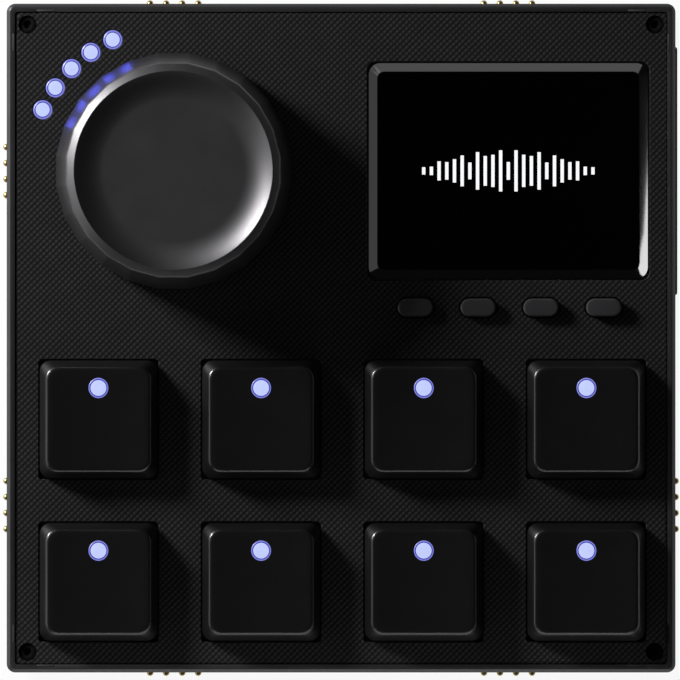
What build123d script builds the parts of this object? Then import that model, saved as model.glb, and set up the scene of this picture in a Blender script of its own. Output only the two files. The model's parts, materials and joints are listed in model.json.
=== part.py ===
"""Desk controller for an audio workstation: eight keys, a dial, a small screen with four buttons below it,
rows of indicator lights, and spring contacts along its sides for docking to its neighbours.

Millimetres. The origin is the centre of the footprint on the desk. +X is to the user's right, +Y away from
the user, +Z up. Each finished piece is written to parts/ as its own STEP file.
"""

import os
from math import asin, cos, degrees, pi, sin

from build123d import *

# Driving dimensions: case
case_side = 100.0
case_corner_radius = 1.3
wall_thickness = 3.0
floor_thickness = 2.0
rim_width = 1.2
rim_rise = 0.2
rim_chamfer = 0.5
base_chamfer = 0.6
pry_notch_length = 2.7
pry_notch_depth = 0.35
pry_notch_drop = 0.9
pry_notch_from_corner = 5.8
post_wall = 0.55
foot_radius = 5.0
foot_height = 1.5
foot_recess = 0.5
foot_inset = 13.0
foot_edge_chamfer = 0.4

# Driving dimensions: boards and face plate
board_gap = 1.5
board_corner_radius = 2.0
board_screw_inset = 5.6
board_standoff = 2.5
standoff_radius = 2.6
board_thickness = 1.6
switch_plate_thickness = 1.2
face_thickness = 1.6
face_corner_radius = 0.5
face_edge_chamfer = 0.12

# Driving dimensions: screws, shared by the face plate and the main board
screw_head_radius = 1.25
screw_head_height = 0.7
screw_shank_radius = 0.7
screw_length = 4.0
screw_socket_radius = 0.65
screw_socket_depth = 0.4
screw_recess = 0.3
screw_from_edge = 3.1
screw_access_radius = 2.2

# Driving dimensions: keys and their switches
key_columns = 4
key_rows = 2
key_end_gap = 1.75
key_shift_x = 0.2
key_shift_y = 0.7
key_travel = 3.0
cap_base_side = 17.6
cap_top_side = 15.6
cap_base_radius = 1.6
cap_top_radius = 1.1
cap_wall = 1.15
cap_top_thickness = 1.4
cap_rise = 3.6
cap_shoulder = 0.8
cap_dish_depth = 0.35
cap_edge_fillet = 0.45
cap_hub_radius = 2.75
cap_hole_clearance = 0.15
cap_hole_radius = 0.5
cap_skirt_gap = 0.5
cap_roof_gap = 0.3
switch_base_height = 3.4
switch_hole_side = 14.0
switch_flange_side = 14.8
switch_flange_thickness = 0.9
switch_flange_radius = 1.0
switch_shoulder_side = 12.8
switch_top_side = 11.8
switch_cavity_side = 10.5
switch_floor = 0.9
switch_roof = 0.8
switch_pole_radius = 2.0
switch_pole_length = 1.4
stem_bottom_gap = 0.5
stem_flange_length = 9.8
stem_flange_width = 5.8
stem_flange_thickness = 1.2
stem_block_length = 6.8
stem_block_width = 5.6
stem_block_stand = 0.6
stem_bore_radius = 2.0
stem_bore_roof = 0.6
cross_length = 4.0
cross_arm = 1.3
spring_radius = 1.8
spring_wire = 0.4
spring_post_radius = 1.2
spring_post_height = 1.5

# Driving dimensions: lights
key_light_offset = 4.7
key_light_radius = 1.6
key_light_flange_radius = 1.85
key_light_flange = 0.4
light_slot_length = 4.4
light_slot_width = 2.6
lamp_length = 2.0
lamp_width = 1.6
lamp_height = 0.8
arc_light_radius = 1.42
arc_light_flange_radius = 2.0
arc_light_flange = 0.8
arc_light_pitch = 3.78
arc_light_dock_gap = 0.45
arc_light_gap = 4.05
light_proud = 0.1
light_rim_chamfer = 0.35
lamp_gap = 0.5

# Driving dimensions: dial and its encoder
dial_margin = 7.4
dial_facets = 24
dial_taper = 7.4
dial_height = 13.0
dial_gap = 1.0
dial_rim_inset = 2.79
dial_rim_slope = 34.0
dish_run = 4.3
dish_depth = 1.45
dial_ceiling = 2.4
dial_wall = 3.7
insert_hub_radius = 5.6
insert_plate_thickness = 1.4
insert_rib_thickness = 1.4
insert_rib_count = 6
insert_recess = 0.5
shaft_radius = 3.0
shaft_flat_depth = 1.5
shaft_roof = 2.15
bushing_radius = 3.5
bushing_stand = 0.6
encoder_length = 12.4
encoder_width = 13.2
encoder_roof_gap = 0.3
encoder_roof = 1.0
encoder_cavity_radius = 5.0
rotor_radius = 4.7
rotor_thickness = 1.0
shaft_tail = 1.2
plunger_radius = 3.0
plunger_thickness = 1.2
plunger_pin_radius = 1.0
plunger_pin_length = 0.8
dial_push_travel = 0.5

# Driving dimensions: screen
glass_side_margin = 4.15
glass_end_margin = 8.9
glass_corner_radius = 1.3
glass_thickness = 1.5
glass_rise = 0.5
glass_bevel = 1.3
glass_gap = 0.25
panel_border = 0.55
panel_thickness = 2.0
bracket_lip = 1.15
bracket_lip_gap = 0.15
bracket_ledge = 3.0
ribbon_width = 12.0
ribbon_thickness = 0.2
ribbon_bend_radius = 0.7
ribbon_landing = 6.0
ribbon_setback = 3.0
ribbon_socket_height = 1.0
ribbon_socket_length = 14.0
ribbon_socket_width = 4.0
processor_side = 7.0
processor_height = 0.9

# Driving dimensions: the row of buttons below the screen
button_count = 4
button_inset = 4.09
button_row_gap = 4.35
button_row_shift = 0.2
button_length = 5.35
button_width = 2.75
button_rise = 1.3
button_edge_chamfer = 0.35
button_gap = 0.15
button_flange_border = 0.5
button_flange = 0.8
button_flange_gap = 0.1
button_post_radius = 1.4
button_travel = 0.3
tact_length = 6.0
tact_width = 3.8
tact_height = 3.6
nub_radius = 1.0
nub_length = 1.0
tact_stop_gap = 0.1

# Driving dimensions: docking contacts, their magnets and the socket plate
contact_count = 4
contact_pitch = 2.4
contact_radius = 0.5
contact_tip_chamfer = 0.3
contact_stand = 0.6
contact_travel = 0.5
contact_collar_radius = 0.72
contact_collar = 0.5
contact_guide = 1.5
dock_block_length = 11.6
dock_block_height = 3.6
dock_flange_border = 0.9
dock_flange = 1.5
dock_back = 0.6
magnet_radius = 2.5
magnet_thickness = 2.0
magnet_spacing = 21.0
socket_plate_margin = 6.45
socket_plate_height = 8.0
socket_plate_thickness = 1.5
socket_plate_proud = 0.3
socket_plate_radius = 1.0
socket_plate_chamfer = 0.2
peg_radius = 1.0
peg_length = 1.4
peg_spacing = 28.0
socket_width = 8.94
socket_height = 3.26
socket_length = 7.35
socket_setback = 0.4
socket_wall = 0.3
socket_back = 1.0
tongue_width = 6.7
tongue_thickness = 0.7
tongue_setback = 0.6

# Clearances
seat_clearance = 0.05
running_clearance = 0.05
slot_clearance = 0.15
board_clearance = 0.5

# Levels, from the desk upwards
case_bottom = foot_height
floor_top = case_bottom + floor_thickness
board_bottom = floor_top + board_standoff
board_top = board_bottom + board_thickness
switch_plate_top = board_top + switch_base_height
switch_floor_top = board_top + switch_floor
stem_flange_bottom = switch_floor_top + stem_bottom_gap + key_travel
stem_flange_top = stem_flange_bottom + stem_flange_thickness
switch_top = stem_flange_top + switch_roof
stem_block_top = switch_top + stem_block_stand
cap_ceiling = switch_top + key_travel + key_light_flange + cap_roof_gap
cap_top = cap_ceiling + cap_top_thickness
cap_bottom = switch_plate_top + key_travel + cap_skirt_gap
face_top = cap_top - cap_rise
face_bottom = face_top - face_thickness
rim_top = face_top + rim_rise
dock_level = (case_bottom + rim_top) / 2
socket_level = board_top + socket_height / 2

# Plan sizes that follow from the case
case_half = case_side / 2
inner_half = case_half - wall_thickness
pocket_half = case_half - rim_width
face_half = pocket_half - seat_clearance
board_half = inner_half - board_gap
screw_reach = case_half - screw_from_edge
post_half = screw_reach - screw_shank_radius - seat_clearance - post_wall
foot_reach = case_half - foot_inset
notch_reach = case_half - pry_notch_from_corner

# The case is laid out in quarters: dial at the rear left, screen at the rear right, keys across the front
quarter = case_half / 2
key_pitch = (2 * (inner_half - key_end_gap) - cap_base_side) / (key_columns - 1)
key_block_x = key_shift_x
key_block_y = key_shift_y - quarter
dial_x = -quarter
dial_y = quarter
dial_base_radius = quarter - dial_margin
dial_rim_radius = dial_base_radius - dial_rim_inset
dish_flat_radius = dial_rim_radius - dish_run
dial_cavity_radius = dial_base_radius - dial_wall
arc_light_orbit = dial_base_radius + arc_light_gap
arc_light_end = dock_block_length / 2 + dock_flange_border + arc_light_flange_radius + arc_light_dock_gap
screen_x = quarter
screen_y = quarter
glass_length = case_half - 2 * glass_side_margin
glass_width = case_half - 2 * glass_end_margin
panel_length = glass_length - 2 * panel_border
panel_width = glass_width - 2 * panel_border
bracket_seat_length = panel_length + 2 * bracket_lip_gap
bracket_seat_width = panel_width + 2 * bracket_lip_gap
bracket_window_length = panel_length - 2 * bracket_ledge
bracket_window_width = panel_width - 2 * bracket_ledge
button_pitch = (glass_length - 2 * button_inset - button_length) / (button_count - 1)
button_row_x = screen_x + button_row_shift
button_row_y = screen_y - glass_width / 2 - button_row_gap
dock_offset = quarter
socket_plate_length = case_half - 2 * socket_plate_margin

# Positions in plan
key_points = [
    (
        key_block_x + (column - (key_columns - 1) / 2) * key_pitch,
        key_block_y + ((key_rows - 1) / 2 - row) * key_pitch,
    )
    for row in range(key_rows)
    for column in range(key_columns)
]
key_light_points = [(x, y + key_light_offset) for x, y in key_points]
button_points = [
    (button_row_x + (i - (button_count - 1) / 2) * button_pitch, button_row_y) for i in range(button_count)
]
# The row of lights ends where it clears the docks on both walls of its corner
arc_first_angle = pi / 2 + asin(arc_light_end / arc_light_orbit)
arc_light_sweep = pi / 2 - 2 * asin(arc_light_end / arc_light_orbit)
arc_light_steps = round(arc_light_sweep * arc_light_orbit / arc_light_pitch)
arc_angles = [arc_first_angle + arc_light_sweep * i / arc_light_steps for i in range(arc_light_steps + 1)]
arc_light_points = [
    (dial_x + arc_light_orbit * cos(angle), dial_y + arc_light_orbit * sin(angle)) for angle in arc_angles
]
corner_screw_points = [(sx * screw_reach, sy * screw_reach) for sx in (-1, 1) for sy in (-1, 1)]
board_screw_points = [
    (key_block_x - key_pitch, key_block_y),
    (key_block_x + key_pitch, key_block_y),
    (key_block_x, button_row_y),
    (key_block_x, inner_half - board_screw_inset),
]


def wall_plane(normal, along, level):
    """A plane on the outside of the wall that faces normal, with its own +Y upwards."""
    nx, ny = normal
    origin = (nx * case_half - ny * along, ny * case_half + nx * along, level)
    return Plane(origin=origin, x_dir=(-ny, nx, 0), z_dir=(nx, ny, 0))


RIGHT, REAR, LEFT, FRONT = (1, 0), (0, 1), (-1, 0), (0, -1)
docks = {
    "right_front": wall_plane(RIGHT, -dock_offset, dock_level),
    "rear_right": wall_plane(REAR, -dock_offset, dock_level),
    "rear_left": wall_plane(REAR, dock_offset, dock_level),
    "left_rear": wall_plane(LEFT, -dock_offset, dock_level),
    "left_front": wall_plane(LEFT, dock_offset, dock_level),
    "front_left": wall_plane(FRONT, -dock_offset, dock_level),
    "front_right": wall_plane(FRONT, dock_offset, dock_level),
}
dock_planes = list(docks.values())
socket_plane = wall_plane(RIGHT, dock_offset, socket_level)

os.makedirs("parts", exist_ok=True)


def save(name, shape, places=((0, 0, 0),)):
    """Writes one node: the shape, copied to each of the places."""
    with BuildPart() as node:
        with Locations(*places):
            add(shape)
    node.part.label = name
    export_step(node.part, f"parts/{name}.step")


def at_level(points, level):
    """The same points of the plan, at a height."""
    return [(x, y, level) for x, y in points]


# Case: a tray whose walls carry the docks, with a rim around the face plate
with BuildPart() as case_tray:
    with BuildSketch(Plane.XY.offset(case_bottom)):
        RectangleRounded(case_side, case_side, case_corner_radius)
    extrude(amount=rim_top - case_bottom)
    chamfer(case_tray.faces().sort_by(Axis.Z)[-1].edges(), rim_chamfer)
    chamfer(case_tray.faces().sort_by(Axis.Z)[0].edges(), base_chamfer)
    # Pocket for the face plate, and the pry notches in its rim
    with BuildSketch(Plane.XY.offset(rim_top)):
        RectangleRounded(2 * pocket_half, 2 * pocket_half, face_corner_radius)
    extrude(amount=face_bottom - rim_top, mode=Mode.SUBTRACT)
    with BuildSketch(Plane.XY.offset(rim_top)):
        with GridLocations(2 * notch_reach, 2 * pocket_half, 2, 2):
            Rectangle(pry_notch_length, 2 * pry_notch_depth)
        with GridLocations(2 * pocket_half, 2 * notch_reach, 2, 2):
            Rectangle(2 * pry_notch_depth, pry_notch_length)
    extrude(amount=-pry_notch_drop, mode=Mode.SUBTRACT)
    # Inside, with a post left in each corner for the face plate's screws
    with BuildSketch(Plane.XY.offset(floor_top)):
        Rectangle(2 * inner_half, 2 * inner_half)
        with GridLocations(inner_half + post_half, inner_half + post_half, 2, 2):
            Rectangle(inner_half - post_half, inner_half - post_half, mode=Mode.SUBTRACT)
    extrude(amount=face_bottom - floor_top, mode=Mode.SUBTRACT)
    with BuildSketch(Plane.XY.offset(floor_top)):
        with Locations(*board_screw_points):
            Circle(standoff_radius)
    extrude(amount=board_standoff)
    with Locations(*at_level(board_screw_points, board_bottom)):
        Hole(screw_shank_radius + seat_clearance, depth=screw_length - board_thickness + board_clearance)
    with Locations(*at_level(corner_screw_points, face_bottom)):
        Hole(screw_shank_radius + seat_clearance, depth=screw_length)
    # Docks and their magnets
    with BuildSketch(*dock_planes):
        Rectangle(dock_block_length + 2 * seat_clearance, dock_block_height + 2 * seat_clearance)
    extrude(amount=-wall_thickness, mode=Mode.SUBTRACT)
    with BuildSketch(*[plane.offset(-wall_thickness) for plane in dock_planes]):
        with GridLocations(magnet_spacing, 0, 2, 1):
            Circle(magnet_radius + seat_clearance)
    extrude(amount=magnet_thickness, mode=Mode.SUBTRACT)
    # Seat of the socket plate, its peg holes and the way in to the socket
    with BuildSketch(socket_plane):
        RectangleRounded(
            socket_plate_length + 2 * seat_clearance,
            socket_plate_height + 2 * seat_clearance,
            socket_plate_radius,
        )
    extrude(amount=socket_plate_proud - socket_plate_thickness, mode=Mode.SUBTRACT)
    with BuildSketch(socket_plane):
        SlotOverall(socket_width + 2 * slot_clearance, socket_height + 2 * slot_clearance)
        with GridLocations(peg_spacing, 0, 2, 1):
            Circle(peg_radius + seat_clearance)
    extrude(amount=-wall_thickness, mode=Mode.SUBTRACT)
    # Seats of the feet
    with BuildSketch(Plane.XY.offset(case_bottom)):
        with GridLocations(2 * foot_reach, 2 * foot_reach, 2, 2):
            Circle(foot_radius + seat_clearance)
    extrude(amount=foot_recess, mode=Mode.SUBTRACT)
save("case_tray", case_tray.part)

# Feet
with BuildPart() as rubber_foot:
    Cylinder(foot_radius, foot_height + foot_recess, align=(Align.CENTER, Align.CENTER, Align.MIN))
    chamfer(rubber_foot.faces().sort_by(Axis.Z)[0].edges(), foot_edge_chamfer)
foot_points = [(sx * foot_reach, sy * foot_reach) for sx in (-1, 1) for sy in (-1, 1)]
save("rubber_feet", rubber_foot.part, at_level(foot_points, 0))

# Face plate, with a window for each thing that stands through it
with BuildPart() as face_plate:
    with BuildSketch(Plane.XY.offset(face_bottom)):
        RectangleRounded(2 * face_half, 2 * face_half, face_corner_radius)
        with Locations(*key_points):
            RectangleRounded(
                cap_base_side + 2 * cap_hole_clearance,
                cap_base_side + 2 * cap_hole_clearance,
                cap_hole_radius,
                mode=Mode.SUBTRACT,
            )
        with Locations((screen_x, screen_y)):
            RectangleRounded(
                glass_length + 2 * glass_gap,
                glass_width + 2 * glass_gap,
                glass_corner_radius,
                mode=Mode.SUBTRACT,
            )
        with Locations(*button_points):
            SlotOverall(button_length + 2 * button_gap, button_width + 2 * button_gap, mode=Mode.SUBTRACT)
        with Locations(*arc_light_points):
            Circle(arc_light_radius + seat_clearance, mode=Mode.SUBTRACT)
        with Locations((dial_x, dial_y)):
            Circle(bushing_radius + slot_clearance, mode=Mode.SUBTRACT)
    extrude(amount=face_thickness)
    chamfer(face_plate.faces().sort_by(Axis.Z)[-1].edges(), face_edge_chamfer)
    with Locations(*at_level(corner_screw_points, face_top)):
        CounterBoreHole(
            screw_shank_radius + seat_clearance,
            screw_head_radius + 2 * seat_clearance,
            screw_head_height + screw_recess,
        )
save("face_plate", face_plate.part)

# Screws: one pattern holds both the face plate and the main board
with BuildPart() as screw:
    Cylinder(screw_head_radius, screw_head_height, align=(Align.CENTER, Align.CENTER, Align.MIN))
    Cylinder(screw_shank_radius, screw_length, align=(Align.CENTER, Align.CENTER, Align.MAX))
    with BuildSketch(Plane.XY.offset(screw_head_height)):
        RegularPolygon(screw_socket_radius, 6)
    extrude(amount=-screw_socket_depth, mode=Mode.SUBTRACT)
face_screw_seat = face_top - screw_recess - screw_head_height
save(
    "screws",
    screw.part,
    at_level(corner_screw_points, face_screw_seat) + at_level(board_screw_points, board_top),
)


def board_outline():
    """Outline shared by the main board and the switch plate, clear of the corner posts and the docks."""
    RectangleRounded(2 * board_half, 2 * board_half, board_corner_radius)
    notch_length = dock_block_length + 2 * (dock_flange_border + board_clearance)
    notch_depth = 2 * (dock_flange - board_gap + board_clearance)
    with GridLocations(2 * dock_offset, 2 * board_half, 2, 2):
        Rectangle(notch_length, notch_depth, mode=Mode.SUBTRACT)
    with Locations((-board_half, dock_offset), (-board_half, -dock_offset), (board_half, -dock_offset)):
        Rectangle(notch_depth, notch_length, mode=Mode.SUBTRACT)


# Main board
with BuildPart() as main_board:
    with BuildSketch(Plane.XY.offset(board_bottom)):
        board_outline()
        with Locations(*board_screw_points):
            Circle(screw_shank_radius + seat_clearance, mode=Mode.SUBTRACT)
        with Locations(*key_points):
            Circle(switch_pole_radius + seat_clearance, mode=Mode.SUBTRACT)
    extrude(amount=board_thickness)
save("main_board", main_board.part)

# Switch plate: the stiff sheet that the key switches clip into
with BuildPart() as switch_plate:
    with BuildSketch(Plane.XY.offset(switch_plate_top - switch_plate_thickness)):
        board_outline()
        with Locations(*key_points):
            Rectangle(switch_hole_side, switch_hole_side, mode=Mode.SUBTRACT)
        with Locations(*board_screw_points):
            Circle(screw_access_radius, mode=Mode.SUBTRACT)
        with Locations((dial_x, dial_y)):
            Rectangle(
                encoder_length + 2 * board_clearance, encoder_width + 2 * board_clearance, mode=Mode.SUBTRACT
            )
        with Locations(*arc_light_points):
            Circle(arc_light_radius + slot_clearance, mode=Mode.SUBTRACT)
        with Locations((button_row_x, button_row_y)):
            Rectangle(
                (button_count - 1) * button_pitch + tact_length + 2 * board_clearance,
                tact_width + 2 * board_clearance,
                mode=Mode.SUBTRACT,
            )
        with Locations((screen_x, screen_y)):
            Rectangle(bracket_window_length, bracket_window_width, mode=Mode.SUBTRACT)
        with Locations((board_half, dock_offset)):
            Rectangle(
                2 * (socket_length - socket_setback - wall_thickness),
                socket_width + 2 * board_clearance,
                mode=Mode.SUBTRACT,
            )
    extrude(amount=switch_plate_thickness)
save("switch_plate", switch_plate.part)

# Key switches: lower housing, upper housing and spring, each one group of eight
with BuildPart() as switch_base:
    with BuildSketch(Plane.XY.offset(board_top)):
        Rectangle(switch_hole_side - 2 * seat_clearance, switch_hole_side - 2 * seat_clearance)
    extrude(amount=switch_base_height)
    with BuildSketch(Plane.XY.offset(switch_floor_top)):
        Rectangle(switch_cavity_side, switch_cavity_side)
    extrude(amount=switch_plate_top - switch_floor_top, mode=Mode.SUBTRACT)
    with BuildSketch(Plane.XY.offset(switch_floor_top)):
        Circle(spring_post_radius)
    extrude(amount=spring_post_height)
    with BuildSketch(Plane.XY.offset(board_top)):
        Circle(switch_pole_radius)
    extrude(amount=-switch_pole_length)
    with BuildSketch(Plane.XY.offset(board_top)):
        with Locations((0, key_light_offset)):
            Rectangle(light_slot_length, light_slot_width)
    extrude(amount=switch_base_height, mode=Mode.SUBTRACT)
save("switch_bases", switch_base.part, at_level(key_points, 0))

with BuildPart() as switch_cover:
    with BuildSketch(Plane.XY.offset(switch_plate_top)):
        RectangleRounded(switch_flange_side, switch_flange_side, switch_flange_radius)
    extrude(amount=switch_flange_thickness)
    with BuildSketch(Plane.XY.offset(switch_plate_top + switch_flange_thickness)):
        Rectangle(switch_shoulder_side, switch_shoulder_side)
    with BuildSketch(Plane.XY.offset(switch_top)):
        Rectangle(switch_top_side, switch_top_side)
    loft()
    with BuildSketch(Plane.XY.offset(switch_plate_top)):
        Rectangle(switch_cavity_side, switch_cavity_side)
    extrude(amount=stem_flange_top - switch_plate_top, mode=Mode.SUBTRACT)
    with BuildSketch(Plane.XY.offset(switch_plate_top)):
        Rectangle(stem_block_length + 2 * slot_clearance, stem_block_width + 2 * slot_clearance)
        with Locations((0, key_light_offset)):
            Rectangle(light_slot_length, light_slot_width)
    extrude(amount=switch_top - switch_plate_top, mode=Mode.SUBTRACT)
save("switch_covers", switch_cover.part, at_level(key_points, 0))

stem_bore_top = stem_block_top - stem_bore_roof
with BuildPart() as switch_spring:
    with BuildSketch(Plane.XY.offset(switch_floor_top)):
        Circle(spring_radius)
        Circle(spring_radius - spring_wire, mode=Mode.SUBTRACT)
    extrude(amount=stem_bore_top - switch_floor_top)
save("switch_springs", switch_spring.part, at_level(key_points, 0))

# Switch stem: the slider inside the housing, with the cross that takes the key cap
with BuildPart() as switch_stem:
    with BuildSketch(Plane.XY.offset(stem_flange_bottom)):
        Rectangle(stem_flange_length, stem_flange_width)
    extrude(amount=stem_flange_thickness)
    with BuildSketch(Plane.XY.offset(stem_flange_top)):
        Rectangle(stem_block_length, stem_block_width)
    extrude(amount=stem_block_top - stem_flange_top)
    with BuildSketch(Plane.XY.offset(stem_block_top)):
        Rectangle(cross_length, cross_arm)
        Rectangle(cross_arm, cross_length)
    extrude(amount=cap_ceiling - stem_block_top - slot_clearance)
    with BuildSketch(Plane.XY.offset(stem_flange_bottom)):
        Circle(stem_bore_radius)
    extrude(amount=stem_bore_top - stem_flange_bottom, mode=Mode.SUBTRACT)

# Key cap: straight skirt, tapered shoulders and a shallow dish, hollow below, with a hub for the cross
shoulder_level = face_top + cap_shoulder
cap_slope = (cap_base_side - cap_top_side) / (cap_top - shoulder_level)
cap_inner_base = cap_base_side - 2 * cap_wall
cap_inner_top = cap_inner_base - cap_slope * (cap_ceiling - shoulder_level)
cap_middle = cap_top - cap_dish_depth
cap_dish_radius = (cap_top_side**2 / 4 + cap_dish_depth**2) / (2 * cap_dish_depth)
with BuildPart() as key_cap:
    with BuildSketch(Plane.XY.offset(cap_bottom)):
        RectangleRounded(cap_base_side, cap_base_side, cap_base_radius)
    extrude(amount=shoulder_level - cap_bottom)
    with BuildSketch(Plane.XY.offset(shoulder_level)):
        RectangleRounded(cap_base_side, cap_base_side, cap_base_radius)
    with BuildSketch(Plane.XY.offset(cap_top)):
        RectangleRounded(cap_top_side, cap_top_side, cap_top_radius)
    loft()
    with Locations((0, 0, cap_middle + cap_dish_radius)):
        Cylinder(cap_dish_radius, cap_base_side, rotation=(90, 0, 0), mode=Mode.SUBTRACT)
    fillet(key_cap.faces().sort_by(Axis.Z)[-1].edges(), cap_edge_fillet)
    with BuildSketch(Plane.XY.offset(cap_bottom)):
        RectangleRounded(cap_inner_base, cap_inner_base, cap_base_radius - cap_wall / 2)
    extrude(amount=shoulder_level - cap_bottom, mode=Mode.SUBTRACT)
    with BuildSketch(Plane.XY.offset(shoulder_level)):
        RectangleRounded(cap_inner_base, cap_inner_base, cap_base_radius - cap_wall / 2)
    with BuildSketch(Plane.XY.offset(cap_ceiling)):
        RectangleRounded(cap_inner_top, cap_inner_top, cap_base_radius - cap_wall / 2)
    loft(mode=Mode.SUBTRACT)
    with BuildSketch(Plane.XY.offset(cap_ceiling)):
        Circle(cap_hub_radius)
        Rectangle(cross_length + 2 * seat_clearance, cross_arm + 2 * seat_clearance, mode=Mode.SUBTRACT)
        Rectangle(cross_arm + 2 * seat_clearance, cross_length + 2 * seat_clearance, mode=Mode.SUBTRACT)
    extrude(amount=stem_block_top - cap_ceiling)
    with BuildSketch(Plane.XY.offset(cap_ceiling)):
        with Locations((0, key_light_offset)):
            Circle(key_light_radius + seat_clearance)
    extrude(amount=cap_top - cap_ceiling, mode=Mode.SUBTRACT)

# Key light: a clear plug in the cap, with a flange below the cap's top
key_light_top = cap_middle + light_proud
with BuildPart() as key_light:
    with BuildSketch(Plane.XY.offset(cap_ceiling)):
        with Locations((0, key_light_offset)):
            Circle(key_light_radius)
    extrude(amount=key_light_top - cap_ceiling)
    chamfer(key_light.faces().sort_by(Axis.Z)[-1].edges(), light_rim_chamfer)
    with BuildSketch(Plane.XY.offset(cap_ceiling)):
        with Locations((0, key_light_offset)):
            Circle(key_light_flange_radius)
    extrude(amount=-key_light_flange)

for number, (x, y) in enumerate(key_points, start=1):
    save(f"switch_stem_{number}", switch_stem.part, [(x, y, 0)])
    save(f"key_cap_{number}", key_cap.part, [(x, y, 0)])
    save(f"key_light_{number}", key_light.part, [(x, y, 0)])

# Lights beside the dial: pipes that show through the face, joined by a curved strip on the switch plate
with BuildPart() as arc_lights:
    with BuildSketch(Plane.XY.offset(board_top + lamp_height + lamp_gap)):
        with Locations(*arc_light_points):
            Circle(arc_light_radius)
    extrude(amount=face_top + light_proud - board_top - lamp_height - lamp_gap)
    chamfer(arc_lights.faces().group_by(Axis.Z)[-1].edges(), light_rim_chamfer)
    with BuildLine(Plane.XY.offset(switch_plate_top)) as arc_line:
        CenterArc((dial_x, dial_y), arc_light_orbit, degrees(arc_first_angle), degrees(arc_light_sweep))
    with BuildSketch(Plane.XY.offset(switch_plate_top)):
        SlotArc(arc_line.edge(), 2 * arc_light_flange_radius)
    extrude(amount=arc_light_flange)
save("arc_lights", arc_lights.part)

# Small parts soldered on the board: a lamp below each light, the processor and the screen's socket
ribbon_socket_y = screen_y - bracket_window_width / 2 + ribbon_setback + ribbon_landing
with BuildPart() as board_parts:
    with BuildSketch(Plane.XY.offset(board_top)):
        with Locations(*key_light_points, *arc_light_points):
            Rectangle(lamp_length, lamp_width)
    extrude(amount=lamp_height)
    with BuildSketch(Plane.XY.offset(board_top)):
        with Locations((key_block_x, screen_y)):
            Rectangle(processor_side, processor_side)
    extrude(amount=processor_height)
    with BuildSketch(Plane.XY.offset(board_top)):
        with Locations((screen_x, ribbon_socket_y)):
            Rectangle(ribbon_socket_length, ribbon_socket_width)
    extrude(amount=ribbon_socket_height)
save("board_parts", board_parts.part)

# Encoder below the dial: housing with its bushing, shaft and push plunger
encoder_top = face_bottom - encoder_roof_gap
rotor_top = encoder_top - encoder_roof
rotor_bottom = rotor_top - rotor_thickness
shaft_bottom = rotor_bottom - shaft_tail
plunger_bottom = shaft_bottom - plunger_thickness
encoder_floor_top = plunger_bottom - dial_push_travel - running_clearance
dial_bottom = face_top + dial_gap
dial_top = dial_bottom + dial_height
dial_ceiling_level = dial_top - dish_depth - dial_ceiling
insert_bottom = dial_bottom + insert_recess
shaft_reach = dial_ceiling_level - shaft_roof - insert_bottom
dial_plane = Plane((dial_x, dial_y, 0))

with BuildPart() as encoder_body:
    with BuildSketch(dial_plane.offset(board_top)):
        Rectangle(encoder_length, encoder_width)
    extrude(amount=encoder_top - board_top)
    with BuildSketch(dial_plane.offset(encoder_top)):
        Circle(bushing_radius)
    extrude(amount=face_top + bushing_stand - encoder_top)
    with BuildSketch(dial_plane.offset(encoder_floor_top)):
        Circle(encoder_cavity_radius)
    extrude(amount=rotor_top - encoder_floor_top, mode=Mode.SUBTRACT)
    with BuildSketch(dial_plane.offset(rotor_top)):
        Circle(shaft_radius + running_clearance)
    extrude(amount=face_top + bushing_stand - rotor_top, mode=Mode.SUBTRACT)
    with BuildSketch(dial_plane.offset(board_top)):
        Circle(plunger_pin_radius + running_clearance)
    extrude(amount=encoder_floor_top - board_top, mode=Mode.SUBTRACT)
save("encoder_body", encoder_body.part)

with BuildPart() as encoder_shaft:
    with BuildSketch(dial_plane.offset(shaft_bottom)):
        Circle(shaft_radius)
    extrude(amount=insert_bottom - shaft_bottom)
    with BuildSketch(dial_plane.offset(rotor_bottom)):
        Circle(rotor_radius)
    extrude(amount=rotor_thickness)
    with BuildSketch(dial_plane.offset(insert_bottom)):
        Circle(shaft_radius)
        with Locations((0, 2 * shaft_radius - shaft_flat_depth)):
            Rectangle(2 * shaft_radius, 2 * shaft_radius, mode=Mode.SUBTRACT)
    extrude(amount=shaft_reach)
save("encoder_shaft", encoder_shaft.part)

with BuildPart() as encoder_plunger:
    with BuildSketch(dial_plane.offset(plunger_bottom)):
        Circle(plunger_radius)
    extrude(amount=plunger_thickness)
    with BuildSketch(dial_plane.offset(plunger_bottom)):
        Circle(plunger_pin_radius)
    extrude(amount=-plunger_pin_length)
save("encoder_plunger", encoder_plunger.part)

# Dial: a faceted, tapered shell with a turned chamfer, a dish on top and a hollow below
chamfer_reach = dial_base_radius
with BuildPart() as dial_shell:
    with BuildSketch(dial_plane.offset(dial_bottom)):
        RegularPolygon(dial_base_radius, dial_facets, major_radius=False, rotation=180 / dial_facets)
    extrude(amount=dial_height, taper=dial_taper)
    with BuildSketch(Plane((dial_x, dial_y, 0), x_dir=(1, 0, 0), z_dir=(0, -1, 0))):
        with BuildLine():
            slope = PolarLine((dial_rim_radius, dial_top), chamfer_reach, -dial_rim_slope)
            Polyline(slope @ 1, (dial_rim_radius + chamfer_reach, dial_top), slope @ 0)
        make_face()
        with BuildLine():
            floor_run = Line((0, dial_top - dish_depth), (dish_flat_radius, dial_top - dish_depth))
            TangentArc(floor_run @ 1, (dial_rim_radius, dial_top), tangent=floor_run % 1)
            Polyline((dial_rim_radius, dial_top), (0, dial_top), (0, dial_top - dish_depth))
        make_face()
    revolve(axis=Axis((dial_x, dial_y, 0), (0, 0, 1)), mode=Mode.SUBTRACT)
    with BuildSketch(dial_plane.offset(dial_bottom)):
        Circle(dial_cavity_radius)
    extrude(amount=dial_ceiling_level - dial_bottom, mode=Mode.SUBTRACT)
save("dial_shell", dial_shell.part)

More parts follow.
